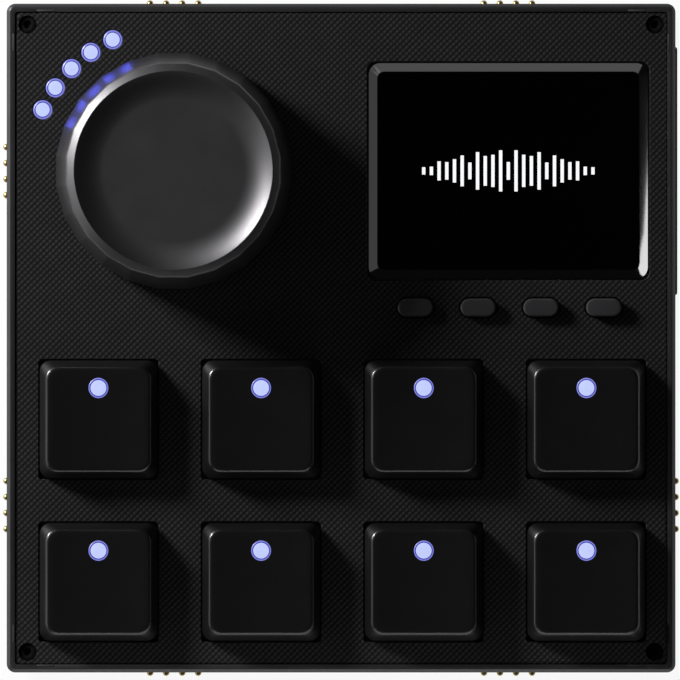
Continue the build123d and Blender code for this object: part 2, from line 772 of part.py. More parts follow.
# Insert: the ribbed core that grips the shaft's flat and fills the dial
insert_radius = dial_cavity_radius - seat_clearance
with BuildPart() as dial_insert:
    with BuildSketch(dial_plane.offset(dial_ceiling_level)):
        Circle(insert_radius)
    extrude(amount=-insert_plate_thickness)
    with BuildSketch(dial_plane.offset(insert_bottom)):
        Circle(insert_hub_radius)
        with PolarLocations(0, insert_rib_count):
            Rectangle(insert_radius, insert_rib_thickness, align=(Align.MIN, Align.CENTER))
        Circle(insert_radius, mode=Mode.INTERSECT)
    extrude(amount=dial_ceiling_level - insert_bottom)
    with BuildSketch(dial_plane.offset(insert_bottom)):
        Circle(shaft_radius + seat_clearance)
        with Locations((0, 2 * shaft_radius - shaft_flat_depth + 2 * seat_clearance)):
            Rectangle(3 * shaft_radius, 2 * shaft_radius, mode=Mode.SUBTRACT)
    extrude(amount=shaft_reach + slot_clearance, mode=Mode.SUBTRACT)
save("dial_insert", dial_insert.part)

# Screen: bevelled glass on a panel, held by a bracket on the switch plate, with its ribbon
screen_plane = Plane((screen_x, screen_y, 0))
glass_top = face_top + glass_rise
glass_bottom = glass_top - glass_thickness
panel_bottom = glass_bottom - panel_thickness
with BuildPart() as screen_glass:
    with BuildSketch(screen_plane.offset(glass_bottom)):
        RectangleRounded(glass_length, glass_width, glass_corner_radius)
    extrude(amount=glass_thickness - glass_rise)
    with BuildSketch(screen_plane.offset(face_top)):
        RectangleRounded(glass_length, glass_width, glass_corner_radius)
    with BuildSketch(screen_plane.offset(glass_top)):
        RectangleRounded(
            glass_length - 2 * glass_bevel, glass_width - 2 * glass_bevel, glass_corner_radius / 2
        )
    loft()
save("screen_glass", screen_glass.part)

with BuildPart() as screen_panel:
    with BuildSketch(screen_plane.offset(panel_bottom)):
        Rectangle(panel_length, panel_width)
    extrude(amount=panel_thickness)
save("screen_panel", screen_panel.part)

with BuildPart() as screen_bracket:
    with BuildSketch(screen_plane.offset(switch_plate_top)):
        Rectangle(bracket_seat_length + 2 * bracket_lip, bracket_seat_width + 2 * bracket_lip)
    extrude(amount=face_bottom - switch_plate_top)
    with BuildSketch(screen_plane.offset(switch_plate_top)):
        Rectangle(bracket_window_length, bracket_window_width)
    extrude(amount=face_bottom - switch_plate_top, mode=Mode.SUBTRACT)
    with BuildSketch(screen_plane.offset(panel_bottom)):
        Rectangle(bracket_seat_length, bracket_seat_width)
    extrude(amount=face_bottom - panel_bottom, mode=Mode.SUBTRACT)
save("screen_bracket", screen_bracket.part)

# Ribbon: leaves the panel's back, folds down through the window and lies on the board's socket
ribbon_fold_y = screen_y - bracket_window_width / 2 + ribbon_setback
ribbon_upper = panel_bottom - ribbon_thickness / 2
ribbon_lower = board_top + ribbon_socket_height + ribbon_thickness / 2
with BuildPart() as screen_ribbon:
    with BuildSketch(Plane.YZ.offset(screen_x)):
        with BuildLine():
            FilletPolyline(
                (ribbon_fold_y + ribbon_landing, ribbon_upper),
                (ribbon_fold_y, ribbon_upper),
                (ribbon_fold_y, ribbon_lower),
                (ribbon_fold_y + ribbon_landing, ribbon_lower),
                radius=ribbon_bend_radius,
            )
        trace(line_width=ribbon_thickness)
    extrude(amount=ribbon_width / 2, both=True)
save("screen_ribbon", screen_ribbon.part)

# Buttons below the screen, each with a flange under the face and a nub in its switch
tact_top = board_top + tact_height
post_bottom = tact_top + button_travel + tact_stop_gap
nub_bottom = post_bottom - nub_length
flange_top = face_bottom - button_flange_gap
with BuildPart() as screen_button:
    with BuildSketch(Plane.XY.offset(flange_top)):
        SlotOverall(button_length, button_width)
    extrude(amount=face_top + button_rise - flange_top)
    chamfer(screen_button.faces().sort_by(Axis.Z)[-1].edges(), button_edge_chamfer)
    with BuildSketch(Plane.XY.offset(flange_top)):
        SlotOverall(button_length + 2 * button_flange_border, button_width + 2 * button_flange_border)
    extrude(amount=-button_flange)
    with BuildSketch(Plane.XY.offset(flange_top - button_flange)):
        Circle(button_post_radius)
    extrude(amount=post_bottom - flange_top + button_flange)
    with BuildSketch(Plane.XY.offset(post_bottom)):
        Circle(nub_radius)
    extrude(amount=-nub_length)
for number, (x, y) in enumerate(button_points, start=1):
    save(f"screen_button_{number}", screen_button.part, [(x, y, 0)])

with BuildPart() as button_switch:
    with BuildSketch(Plane.XY.offset(board_top)):
        Rectangle(tact_length, tact_width)
    extrude(amount=tact_height)
    with BuildSketch(Plane.XY.offset(tact_top)):
        Circle(nub_radius + running_clearance)
    extrude(amount=nub_bottom - button_travel - tact_stop_gap - tact_top, mode=Mode.SUBTRACT)
save("button_switches", button_switch.part, at_level(button_points, 0))

# Docks: an insulating block in the wall, four sprung contacts in it and a magnet each side
dock_depth = wall_thickness + dock_flange
with BuildPart() as dock_block:
    with BuildSketch(Plane.XY):
        Rectangle(dock_block_length, dock_block_height)
    extrude(amount=-wall_thickness)
    with BuildSketch(Plane.XY.offset(-wall_thickness)):
        Rectangle(dock_block_length + 2 * dock_flange_border, dock_block_height + 2 * dock_flange_border)
    extrude(amount=-dock_flange)
    with BuildSketch(Plane.XY):
        with GridLocations(contact_pitch, 0, contact_count, 1):
            Circle(contact_radius + running_clearance)
    extrude(amount=-contact_guide, mode=Mode.SUBTRACT)
    with BuildSketch(Plane.XY.offset(-contact_guide)):
        with GridLocations(contact_pitch, 0, contact_count, 1):
            Circle(contact_collar_radius + running_clearance)
    extrude(amount=contact_guide + dock_back - dock_depth, mode=Mode.SUBTRACT)
save("dock_blocks", dock_block.part, dock_planes)

with BuildPart() as contact:
    with BuildSketch(Plane.XY.offset(contact_stand)):
        Circle(contact_radius)
    extrude(amount=-contact_stand - contact_guide)
    chamfer(contact.faces().sort_by(Axis.Z)[-1].edges(), contact_tip_chamfer)
    with BuildSketch(Plane.XY.offset(-contact_guide)):
        Circle(contact_collar_radius)
    extrude(amount=-contact_collar)
with BuildPart() as contact_row:
    with GridLocations(contact_pitch, 0, contact_count, 1):
        add(contact.part)
for place, plane in docks.items():
    save(f"contacts_{place}", contact_row.part, [plane])

with BuildPart() as dock_magnet:
    with BuildSketch(Plane.XY.offset(-wall_thickness)):
        with GridLocations(magnet_spacing, 0, 2, 1):
            Circle(magnet_radius)
    extrude(amount=magnet_thickness)
save("dock_magnets", dock_magnet.part, dock_planes)

# Socket plate on the right side, and the board's cable socket behind it
with BuildPart() as socket_plate:
    with BuildSketch(socket_plane.offset(socket_plate_proud)):
        RectangleRounded(socket_plate_length, socket_plate_height, socket_plate_radius)
    extrude(amount=-socket_plate_thickness)
    chamfer(socket_plate.faces().sort_by(Axis.X)[-1].edges(), socket_plate_chamfer)
    with BuildSketch(socket_plane.offset(socket_plate_proud)):
        SlotOverall(socket_width + 2 * slot_clearance, socket_height + 2 * slot_clearance)
    extrude(amount=-socket_plate_thickness, mode=Mode.SUBTRACT)
    with BuildSketch(socket_plane.offset(socket_plate_proud - socket_plate_thickness)):
        with GridLocations(peg_spacing, 0, 2, 1):
            Circle(peg_radius)
    extrude(amount=-peg_length)
save("socket_plate", socket_plate.part)

socket_mouth = socket_plane.offset(socket_plate_proud - socket_setback)
with BuildPart() as cable_socket:
    with BuildSketch(socket_mouth):
        SlotOverall(socket_width, socket_height)
    extrude(amount=-socket_length)
    with BuildSketch(socket_mouth):
        SlotOverall(socket_width - 2 * socket_wall, socket_height - 2 * socket_wall)
    extrude(amount=socket_back - socket_length, mode=Mode.SUBTRACT)
    with BuildSketch(socket_mouth.offset(-tongue_setback)):
        Rectangle(tongue_width, tongue_thickness)
    extrude(amount=tongue_setback + socket_back - socket_length)
save("cable_socket", cable_socket.part)
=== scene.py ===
"""Dresses the desk controller: finishes for every piece, and finer shapes for the pieces that show."""

import json
from functools import cache
from math import atan, atan2, cos, pi, radians, sin

import bmesh
import bpy
from bpy.props import FloatProperty, FloatVectorProperty, IntProperty, PointerProperty
from bpy.types import Operator, Panel, PropertyGroup
from mathutils import Matrix, Quaternion, Vector


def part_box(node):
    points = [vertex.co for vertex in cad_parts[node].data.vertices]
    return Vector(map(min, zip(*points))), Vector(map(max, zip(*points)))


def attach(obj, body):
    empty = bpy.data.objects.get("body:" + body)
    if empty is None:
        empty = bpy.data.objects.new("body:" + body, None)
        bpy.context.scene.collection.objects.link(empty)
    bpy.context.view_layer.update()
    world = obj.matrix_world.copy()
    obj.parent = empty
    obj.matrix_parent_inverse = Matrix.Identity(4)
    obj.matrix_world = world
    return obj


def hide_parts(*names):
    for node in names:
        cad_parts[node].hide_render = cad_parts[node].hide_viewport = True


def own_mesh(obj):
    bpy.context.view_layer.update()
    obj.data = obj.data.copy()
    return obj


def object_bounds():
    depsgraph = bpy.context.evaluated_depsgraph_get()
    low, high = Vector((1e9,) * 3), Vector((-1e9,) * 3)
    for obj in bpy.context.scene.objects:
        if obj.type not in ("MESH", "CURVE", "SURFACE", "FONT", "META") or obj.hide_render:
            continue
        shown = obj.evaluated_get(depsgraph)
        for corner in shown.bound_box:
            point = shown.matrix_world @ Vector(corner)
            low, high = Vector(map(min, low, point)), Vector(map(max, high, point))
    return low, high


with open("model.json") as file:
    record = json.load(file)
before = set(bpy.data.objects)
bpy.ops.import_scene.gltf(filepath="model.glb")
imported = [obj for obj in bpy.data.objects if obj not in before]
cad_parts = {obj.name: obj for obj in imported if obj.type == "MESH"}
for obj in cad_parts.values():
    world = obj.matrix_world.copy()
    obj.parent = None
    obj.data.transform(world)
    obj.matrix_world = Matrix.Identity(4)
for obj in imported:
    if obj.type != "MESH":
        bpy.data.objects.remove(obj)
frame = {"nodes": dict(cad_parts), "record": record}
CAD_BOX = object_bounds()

bl_info = {
    "name": "Desk controller dresser",
    "version": (1, 0, 0),
    "blender": (4, 5, 0),
    "location": "3D View > Sidebar > Controller",
    "description": "Builds the looks of a desk controller around its packed frame",
    "category": "Object",
}

MM = 0.001
NODES = frame["nodes"]
KEYS = range(1, 9)
BUTTONS = range(1, 5)
SIDES = {
    "right": Vector((1, 0, 0)), "rear": Vector((0, 1, 0)), "left": Vector((-1, 0, 0)), "front": Vector((0, -1, 0))
}
DOCKS = ("right_front", "rear_right", "rear_left", "left_rear", "left_front", "front_left", "front_right")
DONE = {"FINISHED"}
UP = Vector((0, 0, 1))
FACE_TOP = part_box("face_plate")[1].z
LAMP_PROUD = 0.1 * MM
CAP_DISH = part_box("key_cap_1")[1].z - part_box("key_light_1")[1].z + LAMP_PROUD


def middle(node, top=False):
    """The middle of a node's box, or of the top of it."""
    low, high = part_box(node)
    return Vector(((low.x + high.x) / 2, (low.y + high.y) / 2, high.z if top else (low.z + high.z) / 2))


def mm(name, length, description):
    """A length property, given in millimetres and kept in metres."""
    return FloatProperty(name=name, description=description, default=length * MM, subtype="DISTANCE")


def rgb(name, colour, description):
    """A linear colour property."""
    return FloatVectorProperty(name=name, description=description, default=colour, subtype="COLOR", min=0, max=1)


class ControllerSizes(PropertyGroup):
    """Sizes that a user would change."""

    cap_top_side: mm("Cap top", 15.6, "Width of a cap's top")
    cap_base_radius: mm("Cap base corner", 1.6, "Corner radius of a cap's skirt")
    cap_top_radius: mm("Cap top corner", 2.0, "Corner radius of a cap's top")
    cap_shoulder: mm("Cap shoulder", 0.8, "Height of the skirt above the face")
    cap_edge: mm("Cap edge", 0.65, "Rounding of a cap's top edge")
    cap_dish: mm("Cap dish", CAP_DISH / MM, "Depth of the hollow along a cap's middle")
    glass_bevel: mm("Glass bevel", 1.25, "Width of the glass's bevelled border")
    glass_corner: mm("Glass corner", 1.7, "Corner radius of the glass")
    glass_rise: mm("Glass rise", 0.5, "Height of the glass above the face")
    button_edge: mm("Button edge", 0.35, "Rounding of a button's top edge")
    lamp_core: FloatProperty(name="Lamp core", description="Bright share of a lamp's radius", default=0.74)
    lamp_seam: mm("Lamp seam", 0.15, "Width of the line around a lamp's core")
    contact_tip: mm("Contact tip", 0.5, "Radius of a contact's dome")
    weave_pitch: mm("Weave pitch", 0.935, "Distance between the face's ribs, along X")
    spring_radius: mm("Spring radius", 1.8, "Outer radius of a spring")
    spring_wire: mm("Spring wire", 0.4, "Thickness of a spring's wire")
    spring_turns: FloatProperty(name="Spring turns", description="Turns of a spring", default=5.0, min=1.0)
    case_edge: mm("Case edge", 0.1, "Rounding of the case's sharp edges")
    bar_pitch: mm("Bar pitch", 1.15, "Distance between bars")
    bar_width: mm("Bar width", 0.5, "Width of a bar")
    bar_height: mm("Bar height", 6.4, "Height of the tallest bar")
    bar_count: IntProperty(name="Bars", description="Bars on the screen", default=23, min=1)
    dial_facets: IntProperty(name="Dial facets", description="Flats around the dial", default=24, min=3)
    dial_taper: FloatProperty(
        name="Dial taper", description="Lean of the dial's flats", default=radians(7.4), subtype="ANGLE"
    )
    dial_rim_slope: FloatProperty(
        name="Dial chamfer", description="Fall of the dial's chamfer", default=radians(34), subtype="ANGLE"
    )
    dial_rim_inset: mm("Dial rim inset", 2.79, "From the dial's base to the edge of its dish")
    dish_run: mm("Dish run", 4.3, "Width of the curved border of the dish")
    dish_depth: mm("Dish depth", 1.45, "Depth of the dish")
    dial_edge: mm("Dial edge", 0.08, "Rounding of the dial's rims")
    dial_soft_edge: mm("Dial soft edge", 0.35, "Reach of the soft edge above the dial's flats")
    dial_wall: mm("Dial wall", 3.7, "Thickness of the dial's wall at its base")


class ControllerColours(PropertyGroup):
    """Colours that a user would change."""

    case: rgb("Case", (0.035, 0.035, 0.037), "Anodised case")
    weave_dark: rgb("Weave, low", (0.0008, 0.0008, 0.0008), "Gaps of the face's weave")
    weave_light: rgb("Weave, high", (0.029, 0.0272, 0.0275), "Ribs of the face's weave")
    insert: rgb("Inserts", (0.03, 0.029, 0.03), "Inserts in the rim")
    key: rgb("Key", (0.0035, 0.0035, 0.0036), "Key caps")
    dial: rgb("Dial", (0.079, 0.077, 0.08), "Dial")
    glass: rgb("Glass", (0.0001, 0.0001, 0.0001), "Screen glass")
    ink: rgb("Screen ink", (0.95, 0.96, 1.0), "Bars on the screen")
    button: rgb("Button", (0.028, 0.027, 0.029), "Buttons below the screen")
    lamp_core: rgb("Lamp core", (0.53, 0.6, 0.95), "Middle of a lamp")
    lamp_rim: rgb("Lamp rim", (0.24, 0.25, 0.78), "Border of a lamp")
    lamp_seam: rgb("Lamp seam", (0.03, 0.035, 0.45), "Line around a lamp's middle")
    contact: rgb("Contact", (0.36, 0.27, 0.1), "Gold-plated contacts")
    insulator: rgb("Insulator", (0.006, 0.006, 0.006), "Dock blocks and socket plate")
    steel: rgb("Steel", (0.45, 0.45, 0.46), "Socket shell, springs and shaft")
    magnet: rgb("Magnet", (0.6, 0.6, 0.58), "Magnets beside the docks")
    rubber: rgb("Rubber", (0.016, 0.016, 0.016), "Feet")
    screw: rgb("Screw", (0.003, 0.003, 0.003), "Blackened screws")
    board: rgb("Board", (0.006, 0.03, 0.018), "Circuit board and ribbon")
    stiffener: rgb("Stiffener", (0.12, 0.12, 0.125), "Sheet that holds the switches")
    housing: rgb("Housing", (0.03, 0.03, 0.03), "Switches, encoder and brackets")
    stem: rgb("Stem", (0.35, 0.03, 0.03), "Stems of the switches")
    floor: rgb("Floor", (0.8, 0.8, 0.8), "Studio floor")


def sizes():
    """The sizes in force."""
    return bpy.context.scene.controller_sizes


def colours():
    """The colours in force."""
    return bpy.context.scene.controller_colours


def math_node(operation):
    """A method of Wire that adds a Math node of this operation."""
    def method(wire, *others):
        return wire.math(operation, wire, *others)

    return method


class Wire:
    """An output socket in an expression. Each operator on it adds a Math node to its tree."""

    def __init__(self, tree, socket):
        self.tree = tree
        self.socket = socket

    def math(self, operation, *values):
        """A Math node of some values."""
        return self.tree.node("ShaderNodeMath", dict(enumerate(values)), operation=operation)

    __add__ = __radd__ = math_node("ADD")
    __mul__ = __rmul__ = math_node("MULTIPLY")
    __sub__ = math_node("SUBTRACT")
    __truediv__ = math_node("DIVIDE")
    sin = math_node("SINE")
    cos = math_node("COSINE")
    tan = math_node("TANGENT")
    arcsin = math_node("ARCSINE")
    absolute = math_node("ABSOLUTE")
    floor = math_node("FLOOR")
    wrap = math_node("WRAP")
    above = math_node("GREATER_THAN")

    def __rsub__(self, other):
        return self.math("SUBTRACT", other, self)

    def __rtruediv__(self, other):
        return self.math("DIVIDE", other, self)

    def is_near(self, value):
        """1 where the wire is within a half of a value, and 0 elsewhere."""
        return self.math("COMPARE", self, value, 0.5)

    def clamp(self):
        """The wire, kept between 0 and 1."""
        return self.math("MINIMUM", self.math("MAXIMUM", self, 0.0), 1.0)

    def span(self, low, high):
        """A wire from 0 to 1, stretched to go from low to high."""
        return self * (high - low) + low


class Tree:
    """A node tree that is written as calls and expressions."""

    def __init__(self, tree):
        self.tree = tree
        tree.nodes.clear()

    def node(self, kind, sockets=None, out=0, **settings):
        """Adds a node: its type, the values or links of its sockets, and its settings, which are set first."""
        node = self.tree.nodes.new(kind)
        for name, value in settings.items():
            setattr(node, name, value)
        for name, value in (sockets or {}).items():
            self.feed(node.inputs[name], value)
        return Wire(self, node.outputs[out]) if node.outputs else None

    def feed(self, socket, value):
        """Links a wire to a socket, or sets the socket's own value."""
        if isinstance(value, Wire):
            self.tree.links.new(value.socket, socket)
        elif socket.type == "RGBA":
            socket.default_value = (*value, 1.0)
        else:
            socket.default_value = value


def shade(colour, factor):
    """A colour made darker or lighter by a factor."""
    return tuple(min(1.0, channel * factor) for channel in colour)


# The sockets of a Mix node that belong to colours.
MIX_FACTOR, MIX_LOW, MIX_HIGH, MIX_RESULT = 0, 6, 7, 2


class Finish(Tree):
    """A material with one Principled shader, and the patterns that finishes share."""

    def __init__(self, name):
        self.material = bpy.data.materials.new(name)
        self.material.use_nodes = True
        super().__init__(self.material.node_tree)
        self.place = self.node("ShaderNodeTexCoord", out="Object")

    def plan(self):
        """The X and Y of a point, in metres."""
        return [self.node("ShaderNodeSeparateXYZ", {0: self.place}, axis) for axis in range(2)]

    def noise(self, grain, detail=2.0):
        """Noise from 0 to 1 whose spots are about grain metres across."""
        return self.node("ShaderNodeTexNoise", {"Vector": self.place, "Scale": 1 / grain, "Detail": detail})

    def blend(self, mask, low, high):
        """A colour that goes from low to high with the mask."""
        sockets = {MIX_FACTOR: mask, MIX_LOW: low, MIX_HIGH: high}
        return self.node("ShaderNodeMix", sockets, MIX_RESULT, data_type="RGBA")

    def cloudy(self, mask, colour, spread):
        """A colour that gets darker and lighter by a share with the mask."""
        return self.blend(mask, shade(colour, 1 - spread), shade(colour, 1 + spread))

    def bump(self, height, strength, distance):
        """A normal from a height, where distance is the height of 1 in metres."""
        return self.node("ShaderNodeBump", {"Strength": strength, "Distance": distance, "Height": height})

    def surface(self, background=0.0, **sockets):
        """Ends the tree in a Principled shader. The background is a share of white that a camera sees instead."""
        values = {name.replace("_", " "): value for name, value in sockets.items()}
        shader = self.node("ShaderNodeBsdfPrincipled", values)
        if background:
            rays = ("Camera", "Glossy", "Transmission")
            seen = [self.node("ShaderNodeLightPath", out=f"Is {ray} Ray") for ray in rays]
            white = self.node("ShaderNodeEmission", {"Color": (1, 1, 1)})
            share = sum(seen, 0.0).clamp() * background
            shader = self.node("ShaderNodeMixShader", {0: share, 1: shader, 2: white})
        self.node("ShaderNodeOutputMaterial", {"Surface": shader})
        return self.material


def grained(name, colour, roughness, grain, relief, specular=0.5, metallic=0.0):
    """A moulded or blasted finish: fine grain, and cloudy changes of tone and gloss."""
    look = Finish(name)
    grains_in_cloud = 40
    fine = look.noise(grain * MM, 3.0)
    cloud = look.noise(grain * MM * grains_in_cloud)
    return look.surface(
        Base_Color=look.cloudy(cloud, getattr(colours(), colour), 0.15),
        Roughness=cloud.span(roughness - 0.05, roughness + 0.01) + fine * 0.04,
        Normal=look.bump(fine, 0.35, relief * MM),
        Specular_IOR_Level=specular,
        Metallic=metallic,
    )


def plated(name, colour, roughness):
    """Plated metal with a little haze."""
    look = Finish(name)
    haze = look.noise(0.5 * MM, 3.0)
    return look.surface(
        Base_Color=look.cloudy(haze, getattr(colours(), colour), 0.1),
        Metallic=1.0,
        Roughness=haze.span(roughness, roughness + 0.08),
        Normal=look.bump(haze, 0.1, 0.01 * MM),
    )


def glowing(name, colour, strength):
    """A lit plastic surface, a little uneven as diffused light is."""
    look = Finish(name)
    glow = getattr(colours(), colour)
    cloud = look.noise(0.8 * MM)
    return look.surface(
        Base_Color=shade(glow, 0.04),
        Roughness=cloud.span(0.35, 0.45),
        Emission_Color=look.cloudy(cloud, glow, 0.06),
        Emission_Strength=strength,
    )


def woven_face():
    """The face's fine weave: ribs over and under each other along both diagonals."""
    look = Finish("woven face")
    x, y = look.plan()
    turn = 2 * pi / sizes().weave_pitch
    rising = ((x - y) * turn).cos()
    falling = ((x + y) * turn).cos()
    rib = (rising * 0.5 + 0.5) * (falling * 0.32 + 0.68)
    wander = look.noise(3 * MM, 3.0)
    tone = (rib * wander.span(0.7, 1.3)).clamp()
    return look.surface(
        Base_Color=look.blend(tone, colours().weave_dark, colours().weave_light),
        Roughness=rib.span(0.62, 0.44),
        Normal=look.bump(rib, 0.5, 0.05 * MM),
        Specular_IOR_Level=0.15,
    )


def brushed_dial():
    """Dark satin metal with faint rings about the dial's axis."""
    look = Finish("satin dial")
    x, y = look.plan()
    centre = middle("dial_shell")
    out = look.node("ShaderNodeCombineXYZ", {0: x - centre.x, 1: y - centre.y})
    radius = look.node("ShaderNodeVectorMath", {0: out}, "Value", operation="LENGTH")
    rings_per_metre = 9000.0
    line = look.node("ShaderNodeTexNoise", {"W": radius, "Scale": rings_per_metre}, noise_dimensions="1D")
    cloud = look.noise(5 * MM)
    return look.surface(
        Base_Color=look.cloudy(cloud, colours().dial, 0.08),
        Metallic=1.0,
        Roughness=line.span(0.385, 0.435) + cloud * 0.03,
        Normal=look.bump(line, 0.08, 0.01 * MM),
    )


def black_glass():
    """Polished black glass with the faintest waviness."""
    look = Finish("black glass")
    wave = look.noise(9 * MM)
    return look.surface(
        Base_Color=colours().glass,
        Roughness=wave.span(0.06, 0.09),
        Normal=look.bump(wave, 0.05, 0.02 * MM),
    )


def traced_board():
    """A circuit board: a dark mask over faint traces."""
    look = Finish("circuit board")
    x, y = look.plan()
    across, along = 2200.0, 900.0
    trace = (x * across).sin().above(0.6) * (y * along).sin().above(-0.4)
    cloud = look.noise(4 * MM)
    tone = (trace * 0.7 + cloud * 0.3).clamp()
    return look.surface(
        Base_Color=look.blend(tone, colours().board, shade(colours().board, 2.0)),
        Roughness=cloud.span(0.4, 0.5),
        Normal=look.bump(trace, 0.3, 0.02 * MM),
    )


FINISHES = {
    # Name, colour, roughness, grain and relief in millimetres, and specular level and metallic where they differ.
    "case": (grained, "anodised case", "case", 0.36, 0.09, 0.01, 0.5, 0.55),
    "screw": (grained, "black oxide", "screw", 0.5, 0.15, 0.01, 0.1),
    "insert": (grained, "rim inserts", "insert", 0.5, 0.15, 0.006),
    "key": (grained, "key plastic", "key", 0.30, 0.12, 0.004, 0.42),
    "screen": (grained, "screen, unlit", "glass", 0.2, 0.3, 0.002, 0.02),
    "button": (grained, "button plastic", "button", 0.45, 0.12, 0.01),
    "insulator": (grained, "insulator", "insulator", 0.55, 0.15, 0.015, 0.15),
    "stiffener": (grained, "anodised sheet", "stiffener", 0.4, 0.2, 0.01, 0.5, 1.0),
    "housing": (grained, "switch housing", "housing", 0.45, 0.2, 0.01),
    "stem": (grained, "switch stem", "stem", 0.35, 0.2, 0.005),
    "rubber": (grained, "foot rubber", "rubber", 0.8, 0.25, 0.03),
    # Name, colour and roughness.
    "contact": (plated, "contact gold", "contact", 0.28),
    "spring": (plated, "spring wire", "steel", 0.3),
    "shaft": (plated, "turned shaft", "steel", 0.35),
    "magnet": (plated, "nickel plate", "magnet", 0.2),
    "socket": (plated, "socket shell", "steel", 0.25),
    # Name, colour and strength.
    "lamp core": (glowing, "lamp core", "lamp_core", 1.0),
    "light": (glowing, "lamp rim", "lamp_rim", 0.9),
    "lamp seam": (glowing, "lamp seam", "lamp_seam", 0.9),
    "screen ink": (glowing, "screen light", "ink", 1.0),
    "face": (woven_face,),
    "dial": (brushed_dial,),
    "glass": (black_glass,),
    "board": (traced_board,),
}


@cache
def finish_of(slot):
    """The material of a slot, made once."""
    maker, *values = FINISHES[slot]
    return maker(*values)


def placed(name, data):
    """A new object in the scene."""
    holder = bpy.data.objects.new(name, data)
    bpy.context.scene.collection.objects.link(holder)
    return holder


def add_piece(name, mesh, body, slot, *nodes):
    """Adds a mesh as a piece that rides on a body and stands for some nodes."""
    piece = placed(name, mesh)
    if not mesh.materials:
        mesh.materials.append(finish_of(slot))
    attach(piece, body)
    if nodes:
        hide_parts(*nodes)
    return piece


def soften(mesh, crease):
    """Shades a mesh smooth, with sharp edges where it turns by more than the crease, in degrees."""
    mesh.shade_smooth()
    mesh.set_sharp_from_angle(angle=radians(crease))
    return mesh


def clean(mesh, merge=0.0, flatten=0.0, outward=False):
    """Merges points within a distance, joins faces within some degrees, and turns faces outwards, as asked."""
    shape = bmesh.new()
    shape.from_mesh(mesh)
    if merge:
        bmesh.ops.remove_doubles(shape, verts=shape.verts, dist=merge)
    if flatten:
        bmesh.ops.dissolve_limit(shape, angle_limit=radians(flatten), verts=shape.verts, edges=shape.edges)
    if outward:
        bmesh.ops.recalc_face_normals(shape, faces=shape.faces)
    shape.to_mesh(mesh)
    shape.free()


def modified(mesh, kind, inputs=None, **settings):
    """The plain mesh that a modifier with these settings, and inputs by identifier, makes of a mesh."""
    holder = placed("holder", mesh)
    modifier = holder.modifiers.new("shape", kind)
    for name, value in settings.items():
        setattr(modifier, name, value)
    for identifier, value in (inputs or {}).items():
        modifier[identifier] = value
    graph = bpy.context.evaluated_depsgraph_get()
    mesh = bpy.data.meshes.new_from_object(holder.evaluated_get(graph))
    holder.modifiers.clear()
    bpy.data.objects.remove(holder)
    return mesh


def bevelled(mesh, width, angle):
    """The mesh with its edges rounded where it turns by more than an angle, in degrees."""
    return modified(mesh, "BEVEL", width=width, segments=2, limit_method="ANGLE", angle_limit=radians(angle))


def add_copy(name, node, slot, edge=0.0):
    """Adds a merged copy of a node's mesh to the case, with its sharp edges rounded by edge metres."""
    mesh = NODES[node].data.copy()
    mesh.materials.clear()
    clean(mesh, merge=1e-6, flatten=0.5)
    if edge:
        mesh = bevelled(mesh, edge, angle=40)
    add_piece(name, soften(mesh, crease=30), "case", slot, node)


def rounded_ring(half_x, half_y, radius, corner_steps=8, side_steps=6):
    """Points of a rounded rectangle about the origin, as many for any size."""
    radius = min(radius, half_x, half_y)
    arcs = []
    for quarter, (way_x, way_y) in enumerate(((1, 1), (-1, 1), (-1, -1), (1, -1))):
        x, y = way_x * (half_x - radius), way_y * (half_y - radius)
        angles = [(quarter + step / corner_steps) * pi / 2 for step in range(corner_steps + 1)]
        arcs.append([Vector((x + radius * cos(a), y + radius * sin(a), 0)) for a in angles])
    points = []
    for arc, following in zip(arcs, arcs[1:] + arcs[:1]):
        points += arc
        points += [arc[-1].lerp(following[0], step / side_steps) for step in range(1, side_steps)]
    return points


def bend(radius, steps, start=0.0, end=pi / 2):
    """(inset, drop) pairs along a round edge that turns from a side into a top."""
    angles = [start + (end - start) * step / steps for step in range(steps + 1)]
    return [(radius * (cos(start) - cos(a)), radius * (1 - sin(a))) for a in angles]


def stacked(rings, name, crease):
    """A smooth closed mesh through rings of equally many points, capped at both ends."""
    count = len(rings[0])
    points = [point for ring in rings for point in ring]
    faces = []
    for low in range(0, len(points) - count, count):
        high = low + count
        for index in range(count):
            after = (index + 1) % count
            faces.append((low + index, low + after, high + after, high + index))
    faces += [range(count), range(len(points) - count, len(points))]
    mesh = bpy.data.meshes.new(name)
    mesh.from_pydata(points, [], faces)
    clean(mesh, merge=1e-7, outward=True)
    return soften(mesh, crease)


def tiered(half_x, half_y, profile, corner, name, crease, about=UP * 0, tighten=0.0, **steps):
    """A closed mesh through rounded rectangles, by (inset, level) pairs. An inset tightens corners by a share."""
    rings = []
    for inset, level in profile:
        radius = max(corner - inset * tighten, 0)
        ring = rounded_ring(half_x - inset, half_y - inset, radius, **steps)
        rings.append([point + Vector((about.x, about.y, level)) for point in ring])
    return stacked(rings, name, crease)


def lathed(profile, name, crease, axis=UP, segments=40):
    """A closed mesh turned about an axis from (radius, height) pairs, bottom to top."""
    turn = UP.rotation_difference(axis).to_matrix()
    angles = [2 * pi * index / segments for index in range(segments)]
    rings = []
    for radius, height in profile:
        rings.append([turn @ Vector((radius * cos(a), radius * sin(a), height)) for a in angles])
    return stacked(rings, name, crease)


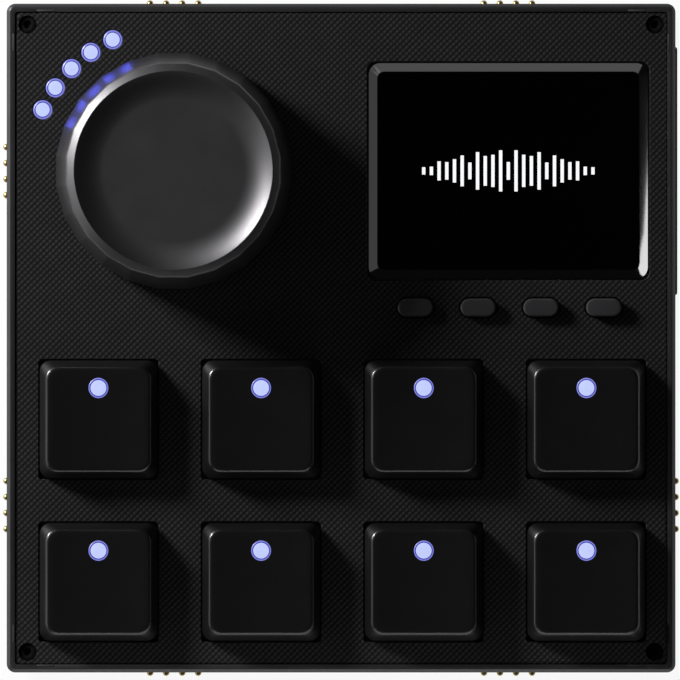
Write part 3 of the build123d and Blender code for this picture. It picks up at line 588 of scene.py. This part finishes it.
class Grower(Tree):
    """A Geometry Nodes tree with named inputs."""

    def __init__(self, name):
        super().__init__(bpy.data.node_groups.new(name, "GeometryNodeTree"))
        self.tree.interface.new_socket("Geometry", in_out="OUTPUT", socket_type="NodeSocketGeometry")
        self.identifiers = {}

    def inputs(self, **kinds):
        """Adds the inputs, and returns their wires in order."""
        for name, kind in kinds.items():
            socket = self.tree.interface.new_socket(name, in_out="INPUT", socket_type=f"NodeSocket{kind}")
            self.identifiers[name] = socket.identifier
        entry = self.tree.nodes.new("NodeGroupInput")
        return [Wire(self, entry.outputs[name]) for name in kinds]

    def point(self, place, *offsets):
        """A point at some offsets from a place, along X, Y and Z."""
        offset = self.node("ShaderNodeCombineXYZ", dict(enumerate(offsets)))
        return self.node("ShaderNodeVectorMath", {0: offset, 1: place}, operation="ADD")

    def end(self, *branches):
        """Joins branches of (geometry, material), each realised and given its material."""
        join = self.tree.nodes.new("GeometryNodeJoinGeometry")
        for geometry, material in branches:
            real = self.node("GeometryNodeRealizeInstances", {0: geometry})
            painted = self.node("GeometryNodeSetMaterial", {"Geometry": real, "Material": material})
            self.tree.links.new(painted.socket, join.inputs[0])
        self.node("NodeGroupOutput", {0: Wire(self, join.outputs[0])})
        return self

    def grow(self, mesh, **values):
        """The mesh that the tree makes from a start mesh and these inputs."""
        inputs = {self.identifiers[name]: value for name, value in values.items()}
        return modified(mesh, "NODES", inputs, node_group=self.tree)


def points_mesh(points):
    """A mesh of loose points."""
    mesh = bpy.data.meshes.new("points")
    mesh.from_pydata(points, [], [])
    return mesh


def repeated(points, shapes, crease):
    """One mesh with some shapes, by the slots of their finishes, at every point."""
    grower = Grower("repeat at points")
    kinds, values = {"Points": "Geometry"}, {}
    for slot, mesh in shapes.items():
        kinds |= {f"{slot} shape": "Object", f"{slot} finish": "Material"}
        values |= {f"{slot} shape": placed("source", mesh), f"{slot} finish": finish_of(slot)}
    spots, *pairs = grower.inputs(**kinds)
    branches = []
    for shape, finish in zip(pairs[::2], pairs[1::2]):
        source = grower.node("GeometryNodeObjectInfo", {"Object": shape}, "Geometry")
        copies = grower.node("GeometryNodeInstanceOnPoints", {"Points": spots, "Instance": source})
        branches.append((copies, finish))
    mesh = grower.end(*branches).grow(points_mesh(points), **values)
    for slot in shapes:
        bpy.data.objects.remove(values[f"{slot} shape"])
    return soften(mesh, crease)


FACET_STEPS = 8
# Rows of the dial's grid: four up to the foot of the flats, then the soft edge, the dish's border and its middle.
EDGE_STEPS = 4
DISH_STEPS = 16
FLAT_STEPS = 3
FIRST_EDGE = 4
FIRST_DISH = FIRST_EDGE + EDGE_STEPS + 1
DIAL_ROWS = FIRST_DISH + DISH_STEPS + FLAT_STEPS + 1


def dial_tree():
    """The dial: leaning flats, a turned chamfer that scallops them, a soft edge between, and a dish."""
    grower = Grower("faceted dial")
    names = "Facets Base Height Taper Rim Slope Soft Run Depth Cavity Ceiling".split()
    place, finish, facets, base, height, taper, rim, slope, soft, run, depth, cavity, ceiling = grower.inputs(
        Start="Geometry", Place="Vector", Finish="Material", **{name: "Float" for name in names}
    )[1:]
    columns = facets * FACET_STEPS + 1
    size = {"Size X": 1.0, "Size Y": 1.0, "Vertices X": columns, "Vertices Y": DIAL_ROWS}
    grid = grower.node("GeometryNodeMeshGrid", size, "Mesh")
    position = grower.node("GeometryNodeInputPosition")
    across, along = [grower.node("ShaderNodeSeparateXYZ", {0: position}, axis) for axis in range(2)]
    turn = (across + 0.5) * (2 * pi)
    row = ((along + 0.5) * (DIAL_ROWS - 1) + 0.5).floor()
    facet = 2 * pi / facets
    lean = turn.wrap(facet * 0.5, facet * -0.5)
    reach = 1 / lean.cos()
    tangent = taper.tan()
    cone = 1 / slope.tan()
    scallop = (rim + height * cone - base * reach) / (cone - tangent * reach)
    corner = (base - scallop * tangent) * reach
    over = ((row - FIRST_EDGE) / EDGE_STEPS).clamp()
    under = 1 - over
    edge_radius = corner + under * under * soft * tangent * reach - over * over * soft * slope.cos()
    edge_level = scallop - under * under * soft + over * over * soft * slope.sin()
    curve = (run * run + depth * depth) / (depth * 2)
    steepest = (run / curve).arcsin()
    arc = steepest * (1 - ((row - FIRST_DISH) / DISH_STEPS).clamp())
    shrink = 1 - ((row - FIRST_DISH - DISH_STEPS) / FLAT_STEPS).clamp()
    flat = rim - run
    in_dish = row.above(FIRST_DISH - 0.5)
    in_edge = row.above(FIRST_EDGE - 0.5) - in_dish
    radius = (
        (row.is_near(1) + row.is_near(2)) * cavity
        + row.is_near(3) * base * reach
        + in_edge * edge_radius
        + in_dish * (flat + curve * arc.sin()) * shrink
    )
    level = (
        (row.is_near(0) + row.is_near(1)) * ceiling
        + in_edge * edge_level
        + in_dish * (height - depth + curve * (1 - arc.cos()))
    )
    spot = grower.point(place, radius * turn.cos(), radius * turn.sin(), level)
    shaped = grower.node("GeometryNodeSetPosition", {"Geometry": grid, "Position": spot})
    merged = grower.node("GeometryNodeMergeByDistance", {"Geometry": shaped, "Distance": 1e-6})
    return grower.end((merged, finish))


def bars_tree():
    """A row of level bars along X, tall in the middle and uneven as sound is."""
    grower = Grower("level bars")
    tempo = 1.9
    bar, count, pitch, height, place, finish = grower.inputs(
        Bar="Geometry", Count="Int", Pitch="Float", Height="Float", Place="Vector", Finish="Material"
    )
    line = grower.node("GeometryNodeMeshLine", {"Count": count}, "Mesh")
    index = grower.node("GeometryNodeInputIndex")
    centred = index - (count - 1) * 0.5
    spread = centred / (count * 0.5)
    swell = (1 - spread * spread).clamp()
    beat = (centred * tempo).sin().absolute().span(0.35, 1.0)
    tall = (swell * beat).span(0.1, 1.0)
    spot = grower.point(place, centred * pitch)
    line = grower.node("GeometryNodeSetPosition", {"Geometry": line, "Position": spot})
    stretch = grower.node("ShaderNodeCombineXYZ", {0: 1.0, 1: tall * height, 2: 1.0})
    bars = grower.node("GeometryNodeInstanceOnPoints", {"Points": line, "Instance": bar, "Scale": stretch})
    return grower.end((bars, finish))


def coil_tree():
    """A coil spring of round wire that stands on a place."""
    grower = Grower("coil spring")
    coil_steps, wire_sides = 20, 8
    turns, radius, wire, length, place, finish = grower.inputs(
        Start="Geometry", Turns="Float", Radius="Float", Wire="Float", Length="Float", Place="Vector",
        Finish="Material",
    )[1:]
    half_wire = wire * 0.5
    orbit = radius - half_wire
    path = grower.node("GeometryNodeCurveSpiral", {
        "Resolution": coil_steps, "Rotations": turns, "Start Radius": orbit, "End Radius": orbit,
        "Height": length - wire,
    })
    circle = {"Resolution": wire_sides, "Radius": half_wire}
    section = grower.node("GeometryNodeCurvePrimitiveCircle", circle, "Curve")
    coil = grower.node("GeometryNodeCurveToMesh", {"Curve": path, "Profile Curve": section, "Fill Caps": True})
    spot = grower.point(place, 0.0, 0.0, half_wire)
    standing = grower.node("GeometryNodeTransform", {"Geometry": coil, "Translation": spot})
    return grower.end((standing, finish))


# Where the middle point of a small rounding lies, as a share of its radius.
ROUND_MIDDLE = 0.3


def add_inserts():
    """Satin inserts that fill the notches in the rim, two to a side."""
    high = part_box("case_tray")[1]
    half_width, half_length, depth = 0.16 * MM, 1.32 * MM, 0.85 * MM
    edge, corner, crease = 0.06 * MM, 0.08 * MM, 40
    notch_width, gap, from_corner = 1.2 * MM, 0.02 * MM, 5.8 * MM
    profile = [(0, -depth), (0, -edge), (edge * ROUND_MIDDLE, -edge * ROUND_MIDDLE), (edge, 0)]
    out = high.x - notch_width + half_width + gap
    along = high.x - from_corner
    steps = {"corner_steps": 3, "side_steps": 1}
    for quarter, side in enumerate(SIDES):
        about = Matrix.Rotation(quarter * pi / 2, 4, "Z")
        insert = tiered(half_width, half_length, profile, corner, "insert", crease, **steps)
        insert.transform(about)
        places = [about @ Vector((out, way * along, high.z)) for way in (-1, 1)]
        mesh = repeated(places, {"insert": insert}, crease)
        add_piece(f"rim_inserts_{side}", mesh, "case", "case")


class DressCase(Operator):
    """Case with the inserts in its rim, dock blocks, socket plate and cable socket"""

    bl_idname = "controller.case"
    bl_label = "Case"

    def execute(self, context):
        add_copy("case_shell", "case_tray", "case", sizes().case_edge)
        add_copy("dock_faces", "dock_blocks", "insulator")
        add_copy("side_plate", "socket_plate", "insulator")
        add_copy("socket_shell", "cable_socket", "socket")
        add_inserts()
        return DONE


class DressFeet(Operator):
    """Four rubber feet with rounded rims"""

    bl_idname = "controller.feet"
    bl_label = "Feet"

    def execute(self, context):
        low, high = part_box("rubber_feet")
        radius, edge, crease = 5.0 * MM, 0.4 * MM, 60
        part = ROUND_MIDDLE * edge
        profile = [(radius - edge, 0), (radius - part, part), (radius, edge), (radius, high.z - low.z)]
        columns, rows = [(low[axis] + radius, high[axis] - radius) for axis in range(2)]
        places = [(x, y, low.z) for x in columns for y in rows]
        mesh = repeated(places, {"rubber": lathed(profile, "foot", crease)}, crease)
        add_piece("feet", mesh, "case", "rubber", "rubber_feet")
        return DONE


class DressFace(Operator):
    """The woven face plate and its screws"""

    bl_idname = "controller.face"
    bl_label = "Face plate"

    def execute(self, context):
        screw_edge = 0.06 * MM
        add_copy("face", "face_plate", "face")
        add_copy("screw_heads", "screws", "screw", screw_edge)
        return DONE


def add_lights(name, node, body, radius, places):
    """Lamps in place of a light node: a bright core, a thin seam and a rim."""
    core = sizes().lamp_core * radius
    seam = core + sizes().lamp_seam
    depth, seam_depth, fall = 1.2 * MM, 0.3 * MM, 0.1 * MM
    crown, gap, crease = 0.02 * MM, 0.005 * MM, 50
    profiles = {
        "light": [
            (radius, -depth), (radius, -2 * fall), (radius - 4 * crown, -fall), (seam, -2 * crown),
            (seam, -seam_depth),
        ],
        "lamp seam": [(seam - gap, gap - seam_depth), (seam - gap, -4 * crown), (core, -3 * crown)],
        "lamp core": [(core, -fall), (core, -crown), (core - 2 * crown, 0)],
    }
    shapes = {slot: lathed(profile, slot, crease) for slot, profile in profiles.items()}
    add_piece(name, repeated(places, shapes, crease), body, "light", node)


def cap_mesh():
    """A key cap about the origin, at its height in the frame, dished along Y."""
    low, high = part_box("key_cap_1")
    wall, roof, hub, hub_gap, foot_edge = 1.15 * MM, 1.4 * MM, 2.75 * MM, 0.6 * MM, 0.1 * MM
    below, inset, above = 0.15 * MM, 0.04 * MM, 0.2 * MM  # the soft bend at the shoulder
    edge_steps, top_steps = 6, 9
    base = (high.x - low.x) / 2
    top = sizes().cap_top_side / 2
    shoulder = FACE_TOP + sizes().cap_shoulder
    edge = sizes().cap_edge
    slope = (base - top) / (high.z - shoulder)
    lean = atan(slope)
    side_top = top + slope * edge * (1 - sin(lean))
    rim = side_top - edge * cos(lean)
    inner = base - wall
    ceiling = high.z - roof
    outer_radius = sizes().cap_base_radius
    inner_radius = outer_radius / 2
    skirt = [
        (hub, hub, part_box("switch_covers")[1].z + hub_gap),
        (hub, hub, ceiling),
        (inner - slope * (ceiling - shoulder), inner_radius, ceiling),
        (inner, inner_radius, shoulder),
        (inner, inner_radius, low.z),
        (base - foot_edge, outer_radius, low.z),
        (base, outer_radius, low.z + foot_edge),
        (base, outer_radius, shoulder - below),
        (base - inset, outer_radius, shoulder),
        (base - inset - slope * above, outer_radius, shoulder + above),
    ]
    radius = sizes().cap_top_radius
    dished = [(side_top - turn, radius, high.z - drop) for turn, drop in bend(edge, edge_steps, lean)]
    for step in range(1, top_steps):
        share = 1 - step / top_steps
        dished.append((rim * share, radius * share, high.z))
    rings = []
    for rows, dish in ((skirt, 0.0), (dished, sizes().cap_dish)):
        for half, radius, level in rows:
            ring = rounded_ring(half, half, radius)
            rings.append([p + UP * (level - dish * (1 - min(1.0, abs(p.x) / rim) ** 2)) for p in ring])
    return stacked(rings, "key cap", crease=35)


class DressKeys(Operator):
    """Eight key caps, each with its lamp"""

    bl_idname = "controller.keys"
    bl_label = "Keys"

    def execute(self, context):
        cap = cap_mesh()
        lamp_radius = 1.6 * MM
        for number in KEYS:
            node, light, body = f"key_cap_{number}", f"key_light_{number}", f"key_{number}"
            centre = middle(node)
            mesh = cap.copy()
            mesh.transform(Matrix.Translation((centre.x, centre.y, 0)))
            add_piece(f"cap_{number}", mesh, body, "key", node)
            add_lights(f"lamp_{number}", light, body, lamp_radius, [middle(light, top=True)])
        bpy.data.meshes.remove(cap)
        return DONE


class DressArcLights(Operator):
    """Five lamps in an arc beside the dial"""

    bl_idname = "controller.arc_lights"
    bl_label = "Arc lights"

    def execute(self, context):
        low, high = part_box("arc_lights")
        count, radius, flange = 5, 1.42 * MM, 2.0 * MM
        dial = middle("dial_shell")
        first = Vector((high.x - flange - dial.x, high.y - flange - dial.y))
        orbit = first.length
        start = atan2(first.y, first.x)
        end = atan2(low.y + flange - dial.y, low.x + flange - dial.x)
        places = []
        for index in range(count):
            angle = start + (end - start) * index / (count - 1)
            places.append((dial.x + orbit * cos(angle), dial.y + orbit * sin(angle), high.z))
        add_lights("arc_lamps", "arc_lights", "case", radius, places)
        return DONE


class DressDial(Operator):
    """The faceted, dished dial"""

    bl_idname = "controller.dial"
    bl_label = "Dial"

    def execute(self, context):
        low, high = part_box("dial_shell")
        base = (high.x - low.x) / 2
        centre = middle("dial_shell")
        ceiling, rounded_from, crease = 8.0 * MM, 25, 14
        size = sizes()
        sheet = dial_tree().grow(
            points_mesh([]), Place=(centre.x, centre.y, low.z), Finish=finish_of("dial"),
            Facets=float(size.dial_facets), Base=base, Height=high.z - low.z, Taper=size.dial_taper,
            Rim=base - size.dial_rim_inset, Slope=size.dial_rim_slope, Soft=size.dial_soft_edge,
            Run=size.dish_run, Depth=size.dish_depth, Cavity=base - size.dial_wall, Ceiling=ceiling,
        )
        clean(sheet, outward=True)
        sheet = soften(bevelled(sheet, size.dial_edge, rounded_from), crease)
        add_piece("dial", sheet, "dial", "dial", "dial_shell")
        return DONE


def add_glass():
    """The glass: straight sides, a slowly bending border, and a flat, unlit screen."""
    low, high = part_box("screen_glass")
    bevel, rise = sizes().glass_bevel, sizes().glass_rise
    steps, reach, steepness, easing = 8, 0.94, 1.2, 0.25
    profile = [(0, low.z), (0, high.z - rise)]
    for step in range(1, steps + 1):
        share = step / steps
        profile.append((bevel * share * reach, high.z - rise * (1 - share * (steepness - easing * share))))
    for share, drop in ((0.99, 0.015), (1.06, 0.0)):
        profile.append((bevel * share, high.z - rise * drop))
    mesh = tiered(
        (high.x - low.x) / 2, (high.y - low.y) / 2, profile, sizes().glass_corner, "glass",
        crease=25, about=middle("screen_glass"), tighten=0.5,
    )
    add_piece("glass", mesh, "case", "glass", "screen_glass")
    mesh.materials.append(finish_of("screen"))
    flat = 0.999
    for face in mesh.polygons:
        face.material_index = int(face.normal.z > flat)


def add_bars():
    """Level bars on the screen, stretched from a bar of unit height."""
    half, thickness = sizes().bar_width / 2, 0.02 * MM
    bar = tiered(half, 0.5, [(0, 0), (0, thickness)], half, "bar", crease=30, corner_steps=4, side_steps=1)
    bars = bars_tree().grow(
        bar, Count=sizes().bar_count, Pitch=sizes().bar_pitch, Height=sizes().bar_height,
        Place=middle("screen_glass", top=True), Finish=finish_of("screen ink"),
    )
    add_piece("level_bars", bars, "case", "light")


def add_buttons():
    """Four pill buttons, each with a rounded top edge."""
    half_x, half_y, depth = 5.35 / 2 * MM, 2.75 / 2 * MM, 2.0 * MM
    for number in BUTTONS:
        node = f"screen_button_{number}"
        top = middle(node, top=True)
        profile = [(0, FACE_TOP - depth)]
        profile += [(inset, top.z - drop) for inset, drop in bend(sizes().button_edge, steps=5)]
        mesh = tiered(half_x, half_y, profile, half_y, "pill", crease=35, about=top, tighten=1.0)
        add_piece(f"pill_{number}", mesh, node, "button", node)


class DressScreen(Operator):
    """Bevelled glass with a row of level bars, and the buttons below it"""

    bl_idname = "controller.screen"
    bl_label = "Screen and buttons"

    def execute(self, context):
        add_glass()
        add_bars()
        add_buttons()
        return DONE


class DressContacts(Operator):
    """Rows of domed contacts in the docks"""

    bl_idname = "controller.contacts"
    bl_label = "Contacts"

    def execute(self, context):
        tip, length, pitch, count = sizes().contact_tip, 2.1 * MM, 2.4 * MM, 4
        dome_steps, dome_end, crease, segments = 6, radians(90 * 6 / 6.3), 50, 24
        dome = bend(tip, dome_steps, end=dome_end)
        profile = [(tip, -length), *((tip - inset, -drop) for inset, drop in dome)]
        for dock in DOCKS:
            node = f"contacts_{dock}"
            normal = SIDES[dock.split("_")[0]]
            low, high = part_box(node)
            face = middle(node)
            axis = 0 if normal.x else 1
            face[axis] = high[axis] if normal[axis] > 0 else low[axis]
            side = Vector((-normal.y, normal.x, 0))
            pin = lathed(profile, "contact", crease, normal, segments)
            places = [face + side * pitch * (i - (count - 1) / 2) for i in range(count)]
            add_piece(f"contact_row_{dock}", repeated(places, {"contact": pin}, crease), node, "contact", node)
        return DONE


class DressSprings(Operator):
    """A coil spring in each key switch"""

    bl_idname = "controller.springs"
    bl_label = "Springs"

    def execute(self, context):
        low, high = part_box("switch_springs")
        length = high.z - low.z
        coil = coil_tree()
        for number in KEYS:
            centre = middle(f"key_cap_{number}")
            place = (centre.x, centre.y, low.z)
            mesh = coil.grow(
                points_mesh([]), Turns=sizes().spring_turns, Radius=sizes().spring_radius,
                Wire=sizes().spring_wire, Length=length, Place=place, Finish=finish_of("spring"),
            )
            spring = add_piece(f"coil_{number}", soften(mesh, crease=60), "case", "spring", "switch_springs")
            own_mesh(spring)
        return DONE


class DressInside(Operator):
    """Finishes for the pieces inside, which keep their shapes"""

    bl_idname = "controller.inside"
    bl_label = "Inside"

    def execute(self, context):
        slots = {row["node"]: row["material_slot"] for row in frame["record"]["subparts"]}
        for node, piece in NODES.items():
            if not piece.hide_render:
                piece.data.materials.clear()
                piece.data.materials.append(finish_of(slots[node]))
        return DONE


def add_lamp(
    name, place, size, power, only=None, aim=(0, 0, 0.01), roll=0.0, colour=(1, 1, 1), all_shade=False, unseen_by=()
):
    """A rectangular lamp that looks at a point. It may light one collection only, which alone shades it too."""
    lamp = bpy.data.lights.new(name, "AREA")
    lamp.shape, lamp.energy, lamp.color = "RECTANGLE", power, colour
    lamp.size, lamp.size_y = size
    holder = placed(name, lamp)
    holder.location = place
    turn = (Vector(aim) - Vector(place)).to_track_quat("-Z", "Y")
    holder.rotation_euler = (turn @ Quaternion(UP, radians(roll))).to_euler()
    for ray in ("camera", *unseen_by):
        setattr(holder, f"visible_{ray}", False)
    if only:
        holder.light_linking.receiver_collection = only
        if not all_shade:
            holder.light_linking.blocker_collection = only


def receivers(name, *pieces, state="INCLUDE"):
    """A collection of the pieces that a lamp lights, or of those that it leaves dark."""
    group = bpy.data.collections.new(name)
    for piece in pieces:
        group.objects.link(bpy.data.objects[piece])
    for entry in group.collection_objects:
        entry.light_linking.link_state = state
    return group


def add_floor():
    """A pale floor that the camera sees as white, just below the feet."""
    half, gap = 3.0, 0.02 * MM
    level = CAD_BOX[0].z - gap
    mesh = bpy.data.meshes.new("floor")
    corners = [(x * half, y * half, level) for x, y in ((-1, -1), (1, -1), (1, 1), (-1, 1))]
    mesh.from_pydata(corners, [], [(0, 1, 2, 3)])
    floor = placed("floor", mesh)
    look = Finish("studio floor")
    mesh.materials.append(look.surface(
        Base_Color=look.cloudy(look.noise(4 * MM), colours().floor, 0.01),
        Roughness=0.8,
        background=0.93,
    ))


def add_glow(dial):
    """The blue light of the arc lights on the dial, a small lamp for each."""
    lift, aim_height, orbit, size = 0.3 * MM, 16 * MM, 20.4 * MM, 2.0 * MM
    power, blue = 0.95e-4, (0.07, 0.08, 1.0)
    foot = middle("dial_shell")
    foot.z = FACE_TOP + lift
    aim = foot + UP * aim_height
    for angle in map(radians, (115, 125, 135, 145, 155)):
        out = Vector((cos(angle), sin(angle), 0))
        add_lamp("arc glow", foot + out * orbit, (size, size), power, dial, aim, colour=blue)


def add_lamps():
    """A low key from the rear left, strips all round, and lamps for the dial and the glass alone.

    Caps, buttons and glass don't mirror the key, which would turn them white from the front right.
    """
    caps = [f"cap_{n}" for n in KEYS]
    tops = [*caps, *(f"pill_{n}" for n in BUTTONS)]
    others = receivers("not lit by the key", *tops, "glass", "dial", state="EXCLUDE")
    matt = receivers("lit without a mirror image", *tops)
    glint = receivers("lit by the cap glint", *caps)
    edges = receivers("lit by the strips", "case_shell", "face", *caps)
    dial = receivers("lit by the dial lamps", "dial")
    glass = receivers("lit by the glass panels", "glass")
    key, key_size, key_power, key_aim = (-0.355, 0.235, 0.173), (0.1, 0.1), 4.2, (-0.02, 0.02, 0.015)
    glass_aim, right_bevel = (0.025, 0.025, 0.016), (0.05, -0.102, 0.016)
    add_lamp("key", key, key_size, key_power, others, key_aim, all_shade=True)
    add_lamp("matt key", key, key_size, key_power, matt, key_aim, all_shade=True, unseen_by=("glossy",))
    add_lamp("cap glint", (-0.355, 0.235, 0.06), (0.1, 0.05), key_power, glint, unseen_by=("diffuse",))
    for lamp in (
        ("left panel", (-0.42, -0.02, 0.14), (0.4, 0.24), 0.5),
        ("rear strip", (-0.2, 0.42, 0.2), (0.3, 0.04), 0.06),
        ("front strip", (0, -0.4, 0.05), (0.5, 0.08), 0.28, edges),
        ("near front strip", (0, -0.1, 0.05), (0.14, 0.02), 0.03, edges),
        ("right strip", (0.4, -0.02, 0.05), (0.5, 0.08), 0.1, edges),
        ("dial key", key, (0.17, 0.17), 3.5, dial, key_aim),
        ("dial halo", (-0.32, 0.19, 0.26), (0.2, 0.2), 1.7, dial, key_aim),
        ("dial front strip", (0, -0.4, 0.04), (0.5, 0.05), 0.22, dial),
        ("dial right strip", (0.4, 0, 0.04), (0.5, 0.05), 0.05, dial),
        ("glass rear panel", (0.02, 0.33, 0.3), (0.4, 0.4), 0.85, glass, glass_aim),
        ("glass left panel", (-0.28, 0.03, 0.3), (0.3, 0.4), 0.4, glass, glass_aim),
        ("glass corner panel", (-0.21, 0.24, 0.3), (0.16, 0.4), 0.26, glass, glass_aim),
        ("glass right panel", (0.3, -0.102, 0.26), (0.24, 0.3), 4.0, glass, right_bevel, 8),
    ):
        add_lamp(*lamp)
    add_glow(dial)


def build_world():
    """A dim glow all round, and white where the camera sees past the object."""
    world = bpy.data.worlds.new("studio")
    world.use_nodes = True
    bpy.context.scene.world = world
    tree = Tree(world.node_tree)
    low, high = 0.05, 0.05
    place = tree.node("ShaderNodeTexCoord", out="Generated")
    height = tree.node("ShaderNodeSeparateXYZ", {0: place}, "Z")
    # The glow is even, but as a plain number it would render the caps slightly darker at few samples.
    glow = tree.node("ShaderNodeMapRange", {"Value": height, "To Min": low, "To Max": high})
    seen = tree.node("ShaderNodeLightPath", out="Is Camera Ray")
    light = tree.node("ShaderNodeBackground", {"Color": (1, 1, 1), "Strength": seen + (1 - seen) * glow})
    tree.node("ShaderNodeOutputWorld", {"Surface": light})


def add_camera():
    """A long lens straight above the face, far enough for the picture's width."""
    camera = bpy.data.cameras.new("camera")
    camera.lens, camera.sensor_width = 1300.0, 36.0
    width, centre = 101.67 * MM, (-0.164 * MM, -0.284 * MM)
    distance = width * camera.lens / camera.sensor_width
    camera.clip_start, camera.clip_end = distance * 0.5, distance * 2
    holder = placed("camera", camera)
    holder.location = (*centre, FACE_TOP + distance)
    bpy.context.scene.camera = holder


class BuildStage(Operator):
    """Floor, lights, world and camera"""

    bl_idname = "controller.stage"
    bl_label = "Stage"

    def execute(self, context):
        add_floor()
        add_lamps()
        build_world()
        add_camera()
        context.scene.view_settings.view_transform = "Standard"
        return DONE


class ControllerPanel(Panel):
    """Lists the steps and the sizes and colours they use"""

    bl_idname = "VIEW3D_PT_controller"
    bl_label = "Desk controller"
    bl_space_type = "VIEW_3D"
    bl_region_type = "UI"
    bl_category = "Controller"

    def draw(self, context):
        for step in STEPS:
            self.layout.operator(step.bl_idname)
        for group in (sizes(), colours()):
            for name in group.__annotations__:
                self.layout.prop(group, name)


STEPS = (
    DressCase, DressFeet, DressFace, DressKeys, DressArcLights, DressDial, DressScreen, DressContacts,
    DressSprings, DressInside, BuildStage,
)
CLASSES = (ControllerSizes, ControllerColours, *STEPS, ControllerPanel)


def register():
    """Registers the classes and the settings they use."""
    for cls in CLASSES:
        bpy.utils.register_class(cls)
    bpy.types.Scene.controller_sizes = PointerProperty(type=ControllerSizes)
    bpy.types.Scene.controller_colours = PointerProperty(type=ControllerColours)


def unregister():
    """Undoes register."""
    del bpy.types.Scene.controller_colours
    del bpy.types.Scene.controller_sizes
    for cls in reversed(CLASSES):
        bpy.utils.unregister_class(cls)


def main():
    """Builds every piece and the stage."""
    register()
    for step in STEPS:
        group, name = step.bl_idname.split(".")
        getattr(getattr(bpy.ops, group), name)()


if __name__ == "__main__":
    main()
